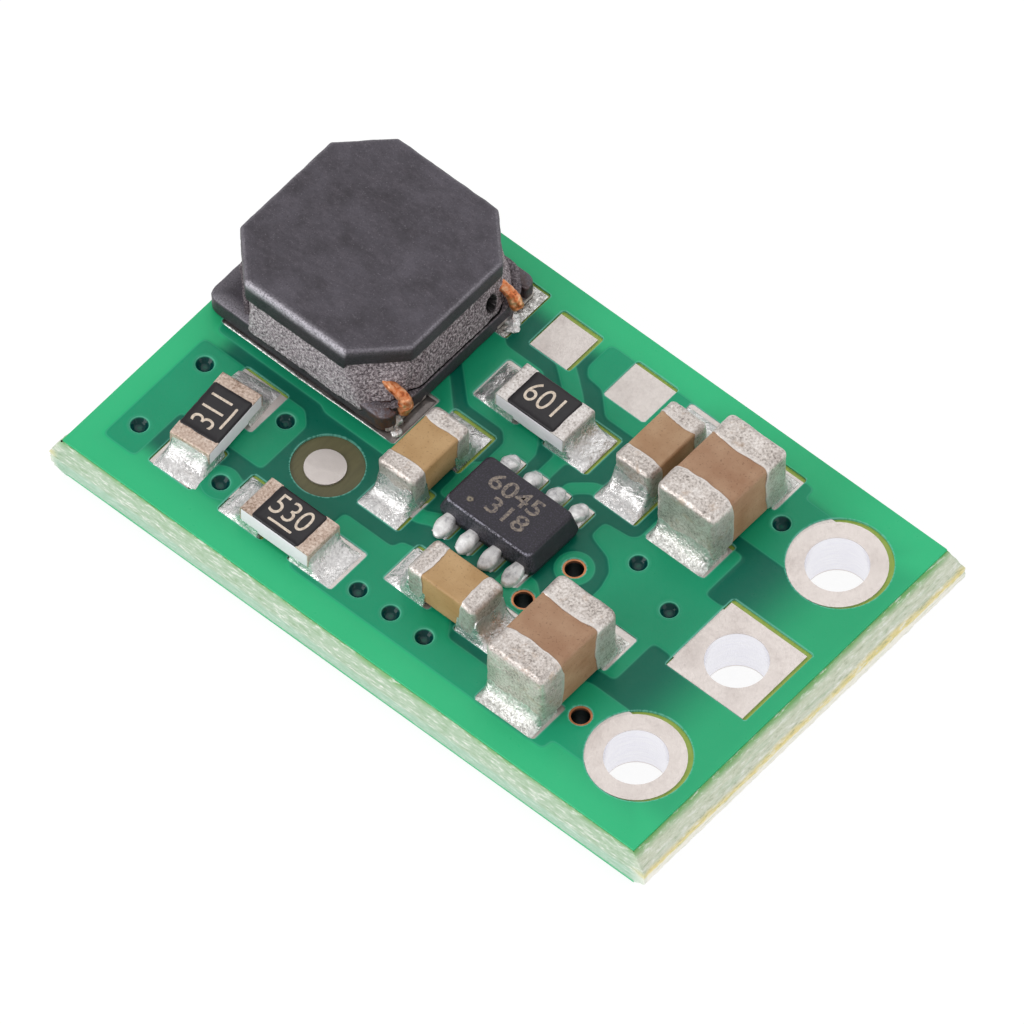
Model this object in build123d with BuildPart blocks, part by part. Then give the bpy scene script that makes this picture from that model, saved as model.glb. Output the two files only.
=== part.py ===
# Boost converter module: a small green circuit board with an inductor, a controller chip,
# five ceramic capacitors, three chip resistors and a row of three plated holes.
# Millimetres, +Z up. The origin is at the middle of the board's underside.
# +X runs along the board towards the plated holes, +Y across it.
# Layout positions below are measured from the middle of the green mask field.
import os
from math import cos, radians, sin, sqrt

from build123d import *

os.makedirs("parts", exist_ok=True)

# Board
board_width = 7.91
laminate_thickness = 0.87
copper_thickness = 0.04
mask_thickness = 0.025
pin_end_lip = 0.30  # how far the snapped web stands out past the mask, at the plated holes
coil_end_lip = 0.14
long_side_lip = 0.08
web_thickness = 0.26

# Plated holes for a row of pins
pin_row_x = 5.07
pin_pitch = 2.54
pin_edge_distance = 1.17  # hole axis to the end of the mask field
pin_bore_radius = 0.545
plating_thickness = 0.03
pin_pad_radius = 0.855
area_to_pin = 0.37  # top copper runs under the pads up to here
tongue_to_pin = 0.47
square_pad_side = 1.64

# Mask openings are a little larger than the pads and printed slightly off to one side
mask_margin = 0.05
mask_shift = (0.02, 0.04)

# Vias
via_bore_radius = 0.165
via_wall = 0.035
via_ring = 0.06
dimple_depth = 0.10
dimple_floor_radius = 0.07
film_thickness = 0.02
open_via_window = 0.235
pin_via_distance = 1.22
wide_ring_radius = 0.33
wide_ring_at = (-3.69, -2.90)
tented_vias = [
    (-5.46, -1.28), (-5.47, -2.91), (-3.69, -1.27), wide_ring_at, (-0.56, -3.03),
    (0.15, -3.03), (0.88, -3.03), (2.58, 0.40), (3.58, 0.02), (pin_row_x - pin_via_distance, 2.55),
]
open_vias = [(1.85, -0.37), (1.62, -1.39), (pin_row_x - pin_via_distance, -2.52)]

# Fiducial mark
fiducial_at = (-2.60, -1.52)
fiducial_radius = 0.36
fiducial_window = 0.63

# Bare square pads at the long edge
bare_pad_width = 0.80
bare_pad_high = (-1.27, 2.97)
bare_pad_low = (0.34, 3.00)

# Ceramic capacitors: two sizes
small_cap_length = 1.50
small_cap_width = 0.78
small_cap_height = 0.76
small_cap_band = 0.33
large_cap_length = 1.92
large_cap_width = 1.25
large_cap_height = 1.25
large_cap_band = 0.52
cap_skin = 0.02  # thickness of the metal over the ceramic
cap_end_wall = 0.05
cap_edge_radius = 0.09
cap_end_chamfer = 0.05
cap_arc = 2.6  # radius of the dipped edge of the metal, in widths of the part

# Chip resistors
resistor_length = 1.50
resistor_width = 0.80
resistor_height = 0.42
resistor_band = 0.29
resistor_skin = 0.02
overcoat_thickness = 0.03
overcoat_inset = 0.03

# Solder
solder_bed = 0.055
small_toe = 0.33  # how far a joint runs out past the end of its part
large_toe = 0.24
hollow_share = 0.34  # how full the slope is: less is hollower
solder_rise = 0.62  # share of the part's height that the fillet climbs
solder_side = 0.03  # past each side of a lead
solder_inset = 0.05  # from each side of a resistor
pad_heel = 0.43
small_pad_toe = 0.45
small_pad_margin = 0.02
large_pad_toe = 0.31
large_pad_margin = -0.03

# Controller chip
chip_length = 2.10
chip_width = 1.20
chip_height = 0.48
chip_standoff = 0.05
chip_draft_side = 0.12
chip_draft_front = 0.05
chip_draft_low = 0.3  # share of the draft at the underside
chip_corner = 0.03
chip_dot_radius = 0.06
chip_dot_depth = 0.015
chip_dot_at = (-0.58, -0.32)  # from the chip's middle
lead_pitch = 0.50
lead_count = 4  # on each long side
lead_width = 0.21
lead_thickness = 0.10
lead_reach = 0.43  # past the body
lead_inside = 0.12
lead_exit = 0.10  # height of the lead's underside where it leaves the body
lead_foot_from = 0.18  # where the foot begins, past the body
lead_bend = 0.05
lead_solder = 0.02
lead_solder_toe = 0.10
lead_pad_width = 0.31
lead_pad_toe = 0.12
lead_pad_length = 0.55

# Inductor
coil_at = (-4.22, 1.51)
coil_edge_distance = 2.02  # its middle to the end of the mask field
base_length = 3.96
base_width = 3.84
base_thickness = 0.28
base_corner = 0.28
top_length = 3.80
top_width = 3.88
top_corner = 0.80
top_thickness = 0.37
top_edge = 0.06
winding_height = 0.85  # between the two flanges
post_radius = 0.90
winding_radius = 1.55
wire_diameter = 0.16
wire_bend = 0.12
coil_joint_radius = 0.12
slot_width = 0.38
slot_depth = 0.15
slot_from_middle = 1.44
resin_inset = 0.05
resin_corner = 0.48
resin_pit_radius = 0.09
resin_pit_height = 0.5  # share of the room between the flanges
resin_pit_side = 0.85
terminal_width = 1.00
terminal_thickness = 0.07
terminal_length = 3.50
terminal_inset = 0.06
coil_pad_width = 1.08
coil_pad_length = 3.71
coil_pad_margin = 0.03
coil_pad_end = 0.14  # past the base, on the side of the wires

# Where each small part sits: middle of the part and the angle of its length
small_caps = {
    "capacitor_1": (-1.31, -0.51, 90),
    "capacitor_2": (0.82, -2.17, 0),
    "capacitor_3": (1.575, 2.13, 90),
}
large_caps = {"capacitor_4": (2.93, 2.10, 90), "capacitor_5": (2.91, -2.17, 90)}
resistors = {
    "resistor_1": (-4.46, -2.13, 95),
    "resistor_2": (-2.17, -2.90, 0),
    "resistor_3": (-0.50, 1.60, 0),
}
pad_turn = {"resistor_1": 90}  # this one was soldered askew, so its pads keep the board's angle
chip_at = (0.46, -0.34)

# Heights of the layers
copper_low = mask_thickness
laminate_low = copper_low + copper_thickness
laminate_top = laminate_low + laminate_thickness
copper_top_level = laminate_top + copper_thickness
mask_top = copper_top_level + mask_thickness
seat_level = copper_top_level + solder_bed
pin_end = pin_row_x + pin_edge_distance
coil_end = coil_at[0] - coil_edge_distance
board_length = pin_end - coil_end
board_middle = (pin_end + coil_end) / 2
board_shift = (coil_end_lip - pin_end_lip) / 2 - board_middle  # from layout to model


def level(z, x=0.0, y=0.0, turn=0.0):
    """A plane at height z, placed and turned in the board's own layout."""
    direction = (cos(radians(turn)), sin(radians(turn)), 0)
    return Plane(origin=(board_shift + x, y, z), x_dir=direction, z_dir=(0, 0, 1))


def save(solid, label):
    """Name a finished piece and write it out."""
    solid.label = label
    export_step(solid, f"parts/{label}.step")


area_end = pin_row_x - area_to_pin
tongue_end = pin_row_x - tongue_to_pin

# Copper areas of the top layer, each as the corners of its outline
coil_x, coil_y = coil_at
base_right = coil_x + base_length / 2
pad_right = base_right + coil_pad_end
pad_left = pad_right - coil_pad_length
front_pad_y = coil_y - base_width / 2 - coil_pad_margin + coil_pad_width / 2
rear_pad_y = coil_y + base_width / 2 + coil_pad_margin - coil_pad_width / 2
top_areas = {
    "input_end": [
        (-5.80, -0.90), (-3.60, -0.90), (-3.37, -1.13), (-3.37, -2.25), (-5.13, -2.25),
        (-5.13, -3.42), (-5.80, -3.42),
    ],
    "near_edge": [
        (-1.73, -2.03), (-0.68, -2.03), (-0.64, -1.84), (-0.40, -1.80), (0.50, -1.68),
        (1.02, -2.57), (1.18, -2.80), (2.30, -2.80), (2.30, -2.30), (3.60, -1.93),
        (area_end, -1.93), (area_end, -3.18), (3.80, -3.18), (3.80, -3.42), (-1.73, -3.42),
    ],
    "middle": [
        (1.02, -1.00), (1.55, -0.98), (2.00, -1.35), (2.10, -2.48), (1.32, -2.48),
        (1.02, -1.62),
    ],
    "output": [
        (2.27, 1.62), (3.80, 1.62), (3.80, 0.63), (tongue_end, 0.63), (tongue_end, -0.63),
        (3.80, -0.63), (3.80, -1.62), (2.45, -1.62), (2.45, -0.38), (2.36, -0.05),
        (2.13, 0.17), (1.82, 0.26), (1.64, 0.32), (1.64, 0.64), (2.16, 0.69), (2.27, 0.80),
    ],
    "far_edge": [
        (-0.62, 3.42), (3.80, 3.42), (3.80, 3.17), (area_end, 3.17), (area_end, 1.92), (2.25, 1.92),
        (2.15, 2.27), (0.26, 2.27), (-0.15, 2.66), (-0.48, 2.69), (-0.62, 2.85),
    ],
    "coil_rear": [
        (-2.30, 3.30), (-2.12, 2.42), (-1.95, 2.27), (-1.12, 2.27), (-0.30, 1.17),
        (-0.13, 0.93), (-0.13, 0.50), (-0.20, -0.68), (-0.83, -0.68), (-0.83, 0.10),
        (-0.66, 0.25), (-0.66, 0.78), (-0.86, 0.97), (-1.62, 0.97), (-2.40, 1.68),
        (-3.40, 2.30), (-3.40, 3.30),
    ],
    "coil_front": [
        (-5.76, -0.62), (-3.45, -0.62), (-3.33, -0.70), (-1.70, -0.70), (-0.94, 0.62),
        (-1.70, 0.66), (-2.30, 1.24), (-3.20, 1.24), (-5.76, 0.60),
    ],
}
# Traces: the points they run through and their width
top_traces = {
    "bare_pad": ([(-1.05, 2.72), (-0.42, 2.24), (0.10, 1.75)], 0.28),
    "feedback": ([(0.24, 1.40), (0.24, 0.55)], 0.22),
    "enable": ([(1.35, 1.07), (1.05, 1.06), (0.75, 0.80), (0.73, 0.50)], 0.20),
    "sense": ([(-1.05, -1.22), (-0.75, -1.26), (-0.35, -1.04)], 0.24),
    "input_ring": ([(-4.30, -2.95), (-3.69, -2.91), (-2.95, -2.91)], 0.20),
}
bottom_margin = 0.46
bottom_gap = 0.20


def draw_pads(grow=0.0, shift=(0.0, 0.0)):
    """All the square-cornered pads, grown on each side and shifted."""
    for (length, width), places in pads.items():
        with Locations(*[Location((x + shift[0], y + shift[1]), turn) for x, y, turn in places]):
            Rectangle(length + 2 * grow, width + 2 * grow)


def draw_trace(points, width):
    """A track of one width through a list of points, with round ends."""
    for start, end in zip(points, points[1:]):
        run = Vector(*end) - Vector(*start)
        middle = Vector(*start) + run / 2
        with Locations(Location((middle.X, middle.Y), Vector(1, 0).get_signed_angle(run))):
            SlotCenterToCenter(run.length, width)


def draw_pin_pads(grow=0.0, shift=(0.0, 0.0), mode=Mode.ADD):
    """The pads of the three plated holes, grown on each side and shifted."""
    for hole_name, (x, y) in pin_places.items():
        with Locations((x + shift[0], y + shift[1])):
            if hole_name == "hole_square":
                Rectangle(square_pad_side + 2 * grow, square_pad_side + 2 * grow, mode=mode)
            else:
                Circle(pin_pad_radius + grow, mode=mode)


def pad_groups():
    """Every soldered or bare pad of the top layer: its size, and its places with their turn."""
    groups = {(bare_pad_width, bare_pad_width): [(*bare_pad_high, 0), (*bare_pad_low, 0)]}
    families = [
        (small_caps, small_cap_length, small_cap_width, small_pad_toe, small_pad_margin),
        (large_caps, large_cap_length, large_cap_width, large_pad_toe, large_pad_margin),
        (resistors, resistor_length, resistor_width, small_pad_toe, small_pad_margin),
    ]
    for parts, length, width, toe, side_room in families:
        outer = length / 2 + toe
        inner = length / 2 - pad_heel
        distance = (outer + inner) / 2
        places = groups.setdefault((outer - inner, width + 2 * side_room), [])
        for name, (x, y, turn) in parts.items():
            turn = pad_turn.get(name, turn)
            for side in (-distance, distance):
                places.append((x + side * cos(radians(turn)), y + side * sin(radians(turn)), turn))
    lead_pad_middle = chip_width / 2 + lead_reach + lead_pad_toe - lead_pad_length / 2
    groups[lead_pad_width, lead_pad_length] = [
        (x, chip_at[1] + side * lead_pad_middle, 0) for x, side in lead_places()
    ]
    groups[coil_pad_length, coil_pad_width] = [
        ((pad_left + pad_right) / 2, y, 0) for y in (front_pad_y, rear_pad_y)
    ]
    return groups


def lead_places():
    """Each chip lead's place along the chip, and its side: -1 in front, 1 behind."""
    first = chip_at[0] - (lead_count - 1) / 2 * lead_pitch
    return [(first + n * lead_pitch, side) for side in (-1, 1) for n in range(lead_count)]


pads = pad_groups()
pin_places = {
    "hole_round_1": (pin_row_x, -pin_pitch),
    "hole_square": (pin_row_x, 0.0),
    "hole_round_2": (pin_row_x, pin_pitch),
}
barrel_radius = pin_bore_radius + plating_thickness
via_radius = via_bore_radius + via_wall

# Laminate: glass-fibre sheet, scored from both faces and snapped, so each side has a ridge
web_low = laminate_low + (laminate_thickness - web_thickness) / 2
web_high = web_low + web_thickness
with BuildPart() as laminate:
    for z, stands_out in ((laminate_low, 0), (web_low, 1), (web_high, 1), (laminate_top, 0)):
        spread = stands_out * (pin_end_lip + coil_end_lip)
        offset_x = stands_out * (pin_end_lip - coil_end_lip) / 2
        with BuildSketch(level(z, offset_x)):
            Rectangle(board_length + spread, board_width + stands_out * 2 * long_side_lip)
    loft(ruled=True)
    with BuildSketch(level(laminate_low)):
        with Locations(*pin_places.values()):
            Circle(barrel_radius)
        with Locations(*tented_vias, *open_vias):
            Circle(via_radius)
    extrude(amount=laminate_thickness, mode=Mode.SUBTRACT)
save(laminate.part, "laminate")

# Plated holes: a copper barrel with a pad at each face, tinned all over
for hole_name, (hole_x, hole_y) in pin_places.items():
    with BuildPart() as hole:
        with BuildSketch(level(copper_low, hole_x, hole_y)):
            Circle(barrel_radius)
        extrude(amount=copper_top_level - copper_low)
        for z in (copper_low, laminate_top):
            with BuildSketch(level(z, hole_x, hole_y)):
                if hole_name == "hole_square":
                    Rectangle(square_pad_side, square_pad_side)
                else:
                    Circle(pin_pad_radius)
            extrude(amount=copper_thickness)
        with BuildSketch(level(copper_low, hole_x, hole_y)):
            Circle(pin_bore_radius)
        extrude(amount=copper_top_level - copper_low, mode=Mode.SUBTRACT)
    save(hole.part, hole_name)

# Vias: thin barrels through the whole board
with BuildPart() as vias:
    with BuildSketch(level(copper_low)):
        with Locations(*tented_vias, *open_vias):
            Circle(via_radius)
            Circle(via_bore_radius, mode=Mode.SUBTRACT)
    extrude(amount=copper_top_level - copper_low)
save(vias.part, "vias")

# Top copper: areas, traces, pads and via rings, around the plated holes and via barrels
with BuildSketch() as top_copper:
    for corners in top_areas.values():
        with BuildLine():
            Polyline(*corners, close=True)
        make_face()
    for points, width in top_traces.values():
        draw_trace(points, width)
    draw_pads()
    with Locations(*tented_vias, *open_vias):
        Circle(via_radius + via_ring)
    with Locations(wide_ring_at):
        Circle(wide_ring_radius)
    with Locations(fiducial_at):
        Circle(fiducial_radius)
    draw_pin_pads(mode=Mode.SUBTRACT)
    with Locations(*tented_vias, *open_vias):
        Circle(via_radius, mode=Mode.SUBTRACT)

with BuildPart() as copper_top:
    with BuildSketch(level(laminate_top)):
        add(top_copper.sketch)
    extrude(amount=copper_thickness)
save(copper_top.part, "copper_top")

# Windows of the top mask, where metal or bare laminate shows
with BuildSketch() as windows:
    draw_pads(mask_margin, mask_shift)
    with Locations(*open_vias):
        Circle(open_via_window)
    with Locations((fiducial_at[0] + mask_shift[0], fiducial_at[1] + mask_shift[1])):
        Circle(fiducial_window)
    draw_pin_pads(mask_margin, mask_shift)

# Top mask: a lacquer coat that fills the gaps in the copper, covers it and sags into the vias
dimple_level = mask_top - dimple_depth / 2
plug_depth = dimple_depth + film_thickness
with BuildPart() as solder_mask_top:
    with BuildSketch(level(laminate_top)):
        Rectangle(board_length, board_width)
        with Locations(*tented_vias, *open_vias):
            Circle(via_radius, mode=Mode.SUBTRACT)
        add(windows.sketch, mode=Mode.SUBTRACT)
        add(top_copper.sketch, mode=Mode.SUBTRACT)
    extrude(amount=copper_thickness)
    with BuildSketch(level(copper_top_level)):
        Rectangle(board_length, board_width)
        add(windows.sketch, mode=Mode.SUBTRACT)
    extrude(amount=mask_thickness)
    with BuildSketch(level(mask_top - plug_depth)):
        with Locations(*tented_vias):
            Circle(via_bore_radius)
    extrude(amount=plug_depth)
    with Locations(*[(board_shift + x, y, dimple_level) for x, y in tented_vias]):
        Cone(dimple_floor_radius, via_bore_radius, dimple_depth, mode=Mode.SUBTRACT)
save(solder_mask_top.part, "solder_mask_top")

# Bottom copper: one plane, cleared round the two outer holes
with BuildSketch() as bottom_copper:
    bottom_length = board_length - 2 * bottom_margin
    RectangleRounded(bottom_length, board_width - 2 * bottom_margin, bottom_margin)
    with Locations(pin_places["hole_round_1"], pin_places["hole_round_2"]):
        Circle(pin_pad_radius + bottom_gap, mode=Mode.SUBTRACT)
    with Locations(pin_places["hole_square"]):
        Rectangle(square_pad_side, square_pad_side, mode=Mode.SUBTRACT)
    with Locations(*tented_vias, *open_vias):
        Circle(via_radius, mode=Mode.SUBTRACT)

with BuildPart() as copper_bottom:
    with BuildSketch(level(copper_low)):
        add(bottom_copper.sketch)
    extrude(amount=copper_thickness)
save(copper_bottom.part, "copper_bottom")

# Bottom mask: the module rests on it, and only the open vias come through it
with BuildPart() as solder_mask_bottom:
    with BuildSketch(level(0)):
        Rectangle(board_length, board_width)
        draw_pin_pads(mask_margin, mode=Mode.SUBTRACT)
        with Locations(*open_vias):
            Circle(via_bore_radius, mode=Mode.SUBTRACT)
    extrude(amount=mask_thickness)
    with BuildSketch(level(copper_low)):
        Rectangle(board_length, board_width)
        draw_pin_pads(mask_margin, mode=Mode.SUBTRACT)
        with Locations(*tented_vias, *open_vias):
            Circle(via_radius, mode=Mode.SUBTRACT)
        add(bottom_copper.sketch, mode=Mode.SUBTRACT)
    extrude(amount=copper_thickness)
save(solder_mask_bottom.part, "solder_mask_bottom")


def make_capacitor(name, place, length, width, height, band):
    """A ceramic block dipped in metal at both ends; returns its solids."""
    along = Axis(place.origin, place.x_dir)
    with BuildPart() as ceramic:
        with Locations(place):
            Box(length - 2 * cap_end_wall, width - 2 * cap_skin, height - 2 * cap_skin)
        fillet(ceramic.edges().filter_by(along), cap_edge_radius - cap_skin)
    save(ceramic.part, f"{name}_ceramic")
    solids = [ceramic.part]
    ball = cap_arc * width
    reach = sqrt(ball**2 - (width / 2) ** 2)
    for side, letter in ((-1, "a"), (1, "b")):
        with BuildPart() as end:
            with Locations(place):
                Box(length, width, height)
            fillet(end.edges().filter_by(along), cap_edge_radius)
            chamfer(end.faces().sort_by(along)[0].edges() + end.faces().sort_by(along)[-1].edges(),
                    cap_end_chamfer)
            # a large ball cuts the metal, so its edge bows towards the middle of each face
            with Locations(place * Location((side * (length / 2 - band + reach), 0, 0))):
                Sphere(ball, mode=Mode.INTERSECT)
            add(ceramic.part, mode=Mode.SUBTRACT)
        save(end.part, f"{name}_end_{letter}")
        solids.append(end.part)
    return solids


def make_resistor(name, place):
    """An alumina chip, dark on top, with metal folded round its ends; returns its solids."""
    inner_length = resistor_length - 2 * resistor_skin
    inner_height = resistor_height - 2 * resistor_skin
    with BuildPart() as substrate:
        with Locations(place):
            Box(inner_length, resistor_width, inner_height)
    save(substrate.part, f"{name}_substrate")
    with BuildPart() as overcoat:
        with Locations(place * Location((0, 0, (inner_height + overcoat_thickness) / 2))):
            Box(resistor_length - 2 * resistor_band, resistor_width - 2 * overcoat_inset,
                overcoat_thickness)
    save(overcoat.part, f"{name}_overcoat")
    solids = [substrate.part]
    for side, letter in ((-1, "a"), (1, "b")):
        with BuildPart() as end:
            with Locations(place * Location((side * (resistor_length - resistor_band) / 2, 0, 0))):
                Box(resistor_band, resistor_width, resistor_height)
            outward = Axis(place.origin, place.x_dir * side)
            across = end.edges().filter_by(Axis(place.origin, place.y_dir))
            fillet(across.sort_by(outward)[-2:], resistor_skin)
            add(substrate.part, mode=Mode.SUBTRACT)
        save(end.part, f"{name}_end_{letter}")
        solids.append(end.part)
    return solids


def make_joints(name, ground, length, width, height, toe, solids):
    """Solder under both ends of a chip part, rising in a hollow slope up each end face."""
    rise = solder_bed + height * solder_rise
    with BuildPart() as solder:
        for side in (-1, 1):
            face = side * length / 2
            tip = face + side * toe
            hollow = (face + side * toe * hollow_share, rise * hollow_share)
            inside = face - side * cap_edge_radius
            heel = face - side * (pad_heel - mask_margin)
            with BuildSketch(Plane(ground.origin, x_dir=ground.x_dir, z_dir=-ground.y_dir)):
                with BuildLine():
                    Polyline((tip, 0), (heel, 0), (heel, solder_bed), (inside, solder_bed),
                             (inside, rise), (face, rise))
                    ThreePointArc((face, rise), hollow, (tip, 0))
                make_face()
            extrude(amount=width / 2, both=True)
        for solid in solids:
            add(solid, mode=Mode.SUBTRACT)
    save(solder.part, f"solder_{name}")


# Ceramic capacitors and chip resistors, each with its solder
cap_families = [
    (small_caps, small_cap_length, small_cap_width, small_cap_height, small_cap_band,
     small_toe, small_pad_margin),
    (large_caps, large_cap_length, large_cap_width, large_cap_height, large_cap_band,
     large_toe, large_pad_margin),
]
for parts, length, width, height, band, toe, pad_margin in cap_families:
    for name, (x, y, turn) in parts.items():
        place = level(seat_level + height / 2, x, y, turn)
        solids = make_capacitor(name, place, length, width, height, band)
        ground = level(copper_top_level, x, y, turn)
        make_joints(name, ground, length, width + 2 * pad_margin, height, toe, solids)
for name, (x, y, turn) in resistors.items():
    solids = make_resistor(name, level(seat_level + resistor_height / 2, x, y, turn))
    ground = level(copper_top_level, x, y, turn)
    make_joints(name, ground, resistor_length, resistor_width - 2 * solder_inset, resistor_height,
                small_toe, solids)

# Controller: a moulded body on eight bent leads, each with its solder
chip_low = copper_top_level + chip_standoff
foot_low = copper_top_level + lead_solder
leads = []
solder_solids = []
for number, (lead_x, side) in enumerate(lead_places(), start=1):
    body_side = Plane(origin=(board_shift + lead_x, chip_at[1] + side * chip_width / 2, 0),
                      x_dir=(0, side, 0), z_dir=(side, 0, 0))
    exit_low = chip_low + lead_exit
    bend = lead_foot_from - lead_thickness
    with BuildPart() as lead:
        with BuildSketch(body_side):
            with BuildLine():
                Polyline((-lead_inside, exit_low), (bend, exit_low), (lead_foot_from, foot_low),
                         (lead_reach, foot_low), (lead_reach, foot_low + lead_thickness),
                         (lead_foot_from + lead_bend, foot_low + lead_thickness),
                         (bend + lead_bend, exit_low + lead_thickness),
                         (-lead_inside, exit_low + lead_thickness), close=True)
            make_face()
        extrude(amount=lead_width / 2, both=True)
    save(lead.part, f"controller_lead_{number}")
    leads.append(lead.part)
with BuildPart() as solder_controller:
    for lead_x, side in lead_places():
        body_side = Plane(origin=(board_shift + lead_x, chip_at[1] + side * chip_width / 2, 0),
                          x_dir=(0, side, 0), z_dir=(side, 0, 0))
        with BuildSketch(body_side):
            with BuildLine():
                Polyline((lead_foot_from, copper_top_level), (lead_foot_from, foot_low + lead_solder),
                         (lead_reach, foot_low + lead_thickness * solder_rise),
                         (lead_reach + lead_solder_toe, copper_top_level), close=True)
            make_face()
        extrude(amount=lead_width / 2 + solder_side, both=True)
    for lead in leads:
        add(lead, mode=Mode.SUBTRACT)
save(solder_controller.part, "solder_controller")

parting = chip_low + lead_exit + lead_thickness / 2
chip_top = chip_low + chip_height
with BuildPart() as controller_body:
    for z, draft in ((chip_low, chip_draft_low), (parting, 0), (chip_top, 1)):
        with BuildSketch(level(z, *chip_at)):
            Rectangle(chip_length - 2 * draft * chip_draft_side,
                      chip_width - 2 * draft * chip_draft_front)
    loft(ruled=True)
    chamfer(controller_body.faces().sort_by(Axis.Z)[-1].edges(), chip_corner)
    with BuildSketch(level(chip_top, chip_at[0] + chip_dot_at[0], chip_at[1] + chip_dot_at[1])):
        Circle(chip_dot_radius)
    extrude(amount=-chip_dot_depth, mode=Mode.SUBTRACT)
    for lead in leads:
        add(lead, mode=Mode.SUBTRACT)
save(controller_body.part, "controller_body")

# Inductor core: a square foot, a post and an eight-sided top, pressed in one piece
base_low = seat_level + terminal_thickness
base_top = base_low + base_thickness
flange_low = base_top + winding_height
flange_top = flange_low + top_thickness


def eight_sides(length, width, cut):
    """The corners of a rectangle with its own corners cut off."""
    across, along = width / 2, length / 2
    points = []
    for sign_x, sign_y in ((1, 1), (-1, 1), (-1, -1), (1, -1)):
        pair = [(sign_x * along, sign_y * (across - cut)), (sign_x * (along - cut), sign_y * across)]
        points += pair if sign_x * sign_y > 0 else pair[::-1]
    return points


with BuildPart() as inductor_core:
    with BuildSketch(level(base_low, *coil_at)):
        RectangleRounded(base_length, base_width, base_corner)
        with Locations((base_length / 2, -slot_from_middle), (base_length / 2, slot_from_middle)):
            RectangleRounded(2 * slot_depth, slot_width, slot_depth / 2, mode=Mode.SUBTRACT)
    extrude(amount=base_thickness)
    with BuildSketch(level(flange_low, *coil_at)):
        Polygon(*eight_sides(top_length, top_width, top_corner), align=None)
    extrude(amount=top_thickness)
    fillet(inductor_core.faces().sort_by(Axis.Z)[-1].edges(), top_edge)
    with BuildSketch(level(base_top, *coil_at)):
        Circle(post_radius)
    extrude(amount=winding_height)
save(inductor_core.part, "inductor_core")

# Winding with its two leads; heights are counted from the seat of the parts
lead_paths = [
    [(-3.35, 0.35, 0.77), (-2.70, 0.08, 0.69), (-2.24, 0.10, 0.47), (-2.27, 0.05, 0.12)],
    [(-3.35, 2.67, 0.85), (-2.45, 2.72, 0.78), (-2.18, 2.77, 0.57), (-2.15, 2.84, 0.22)],
]
with BuildPart() as wire:
    with BuildSketch(level(base_top, *coil_at)):
        Circle(winding_radius)
        Circle(post_radius, mode=Mode.SUBTRACT)
    extrude(amount=winding_height)
    for points in lead_paths:
        with BuildLine(level(seat_level)) as path:
            FilletPolyline(*points, radius=wire_bend)
        with BuildSketch(Plane(path.line @ 0, z_dir=path.line % 0)):
            Circle(wire_diameter / 2)
        sweep(path=path.line)
save(wire.part, "inductor_wire")

# Resin between the flanges, leaning in towards the top, with one small pit
with BuildPart() as resin:
    low = eight_sides(base_length - 2 * resin_inset, base_width - 2 * resin_inset, resin_corner)
    high = eight_sides(top_length - 2 * resin_inset, top_width - 2 * resin_inset, top_corner)
    for z, corners in ((base_top, low), (flange_low, high)):
        with BuildSketch(level(z, *coil_at)):
            Polygon(*corners, align=None)
    loft(ruled=True)
    pit_z = base_top + winding_height * resin_pit_height
    pit_x = coil_at[0] + base_length / 2
    with Locations((board_shift + pit_x, coil_at[1] + resin_pit_side, pit_z)):
        Sphere(resin_pit_radius * 2, mode=Mode.SUBTRACT)
    with BuildSketch(level(base_top, *coil_at)):
        Circle(winding_radius)
    extrude(amount=winding_height, mode=Mode.SUBTRACT)
    add(wire.part, mode=Mode.SUBTRACT)
save(resin.part, "inductor_resin")

# Terminals under the foot, and the solder that joins them and the wire ends to the pads
terminal_x = base_right - terminal_length / 2
terminals = []
for side, letter in ((-1, "a"), (1, "b")):
    terminal_y = coil_y + side * (base_width / 2 - terminal_inset - terminal_width / 2)
    with BuildPart() as terminal:
        with BuildSketch(level(seat_level, terminal_x, terminal_y)):
            RectangleRounded(terminal_length, terminal_width, terminal_inset)
        extrude(amount=terminal_thickness)
    save(terminal.part, f"inductor_terminal_{letter}")
    terminals.append(terminal.part)

with BuildPart() as solder_inductor:
    for points, pad_y in zip(lead_paths, (front_pad_y, rear_pad_y)):
        with BuildSketch(level(copper_top_level, (pad_left + pad_right) / 2, pad_y)):
            Rectangle(coil_pad_length - 2 * mask_margin, coil_pad_width - 2 * mask_margin)
        extrude(amount=solder_bed)
        end_x, end_y, end_z = points[-1]
        with BuildSketch(level(copper_top_level, end_x, end_y)):
            Circle(coil_joint_radius)
        with BuildSketch(level(seat_level + end_z + wire_diameter / 2, end_x, end_y)):
            Circle(wire_diameter)
        loft()
    for solid in (*terminals, wire.part, inductor_core.part):
        add(solid, mode=Mode.SUBTRACT)
save(solder_inductor.part, "solder_inductor")
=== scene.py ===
from math import cos, pi, radians, sin, tau

import bmesh
import bpy
import numpy as np
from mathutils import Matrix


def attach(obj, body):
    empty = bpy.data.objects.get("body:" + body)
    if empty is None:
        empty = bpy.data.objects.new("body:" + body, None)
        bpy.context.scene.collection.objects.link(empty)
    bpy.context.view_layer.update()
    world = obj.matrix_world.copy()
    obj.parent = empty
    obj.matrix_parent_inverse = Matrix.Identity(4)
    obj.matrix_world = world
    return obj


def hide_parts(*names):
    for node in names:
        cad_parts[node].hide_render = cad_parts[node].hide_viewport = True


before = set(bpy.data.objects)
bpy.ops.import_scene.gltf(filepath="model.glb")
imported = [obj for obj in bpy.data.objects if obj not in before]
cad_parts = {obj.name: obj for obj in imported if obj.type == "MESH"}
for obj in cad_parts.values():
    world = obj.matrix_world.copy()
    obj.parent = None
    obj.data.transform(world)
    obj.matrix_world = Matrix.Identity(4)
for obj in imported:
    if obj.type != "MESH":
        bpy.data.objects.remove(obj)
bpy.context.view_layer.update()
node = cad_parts
mm = 0.001

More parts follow.
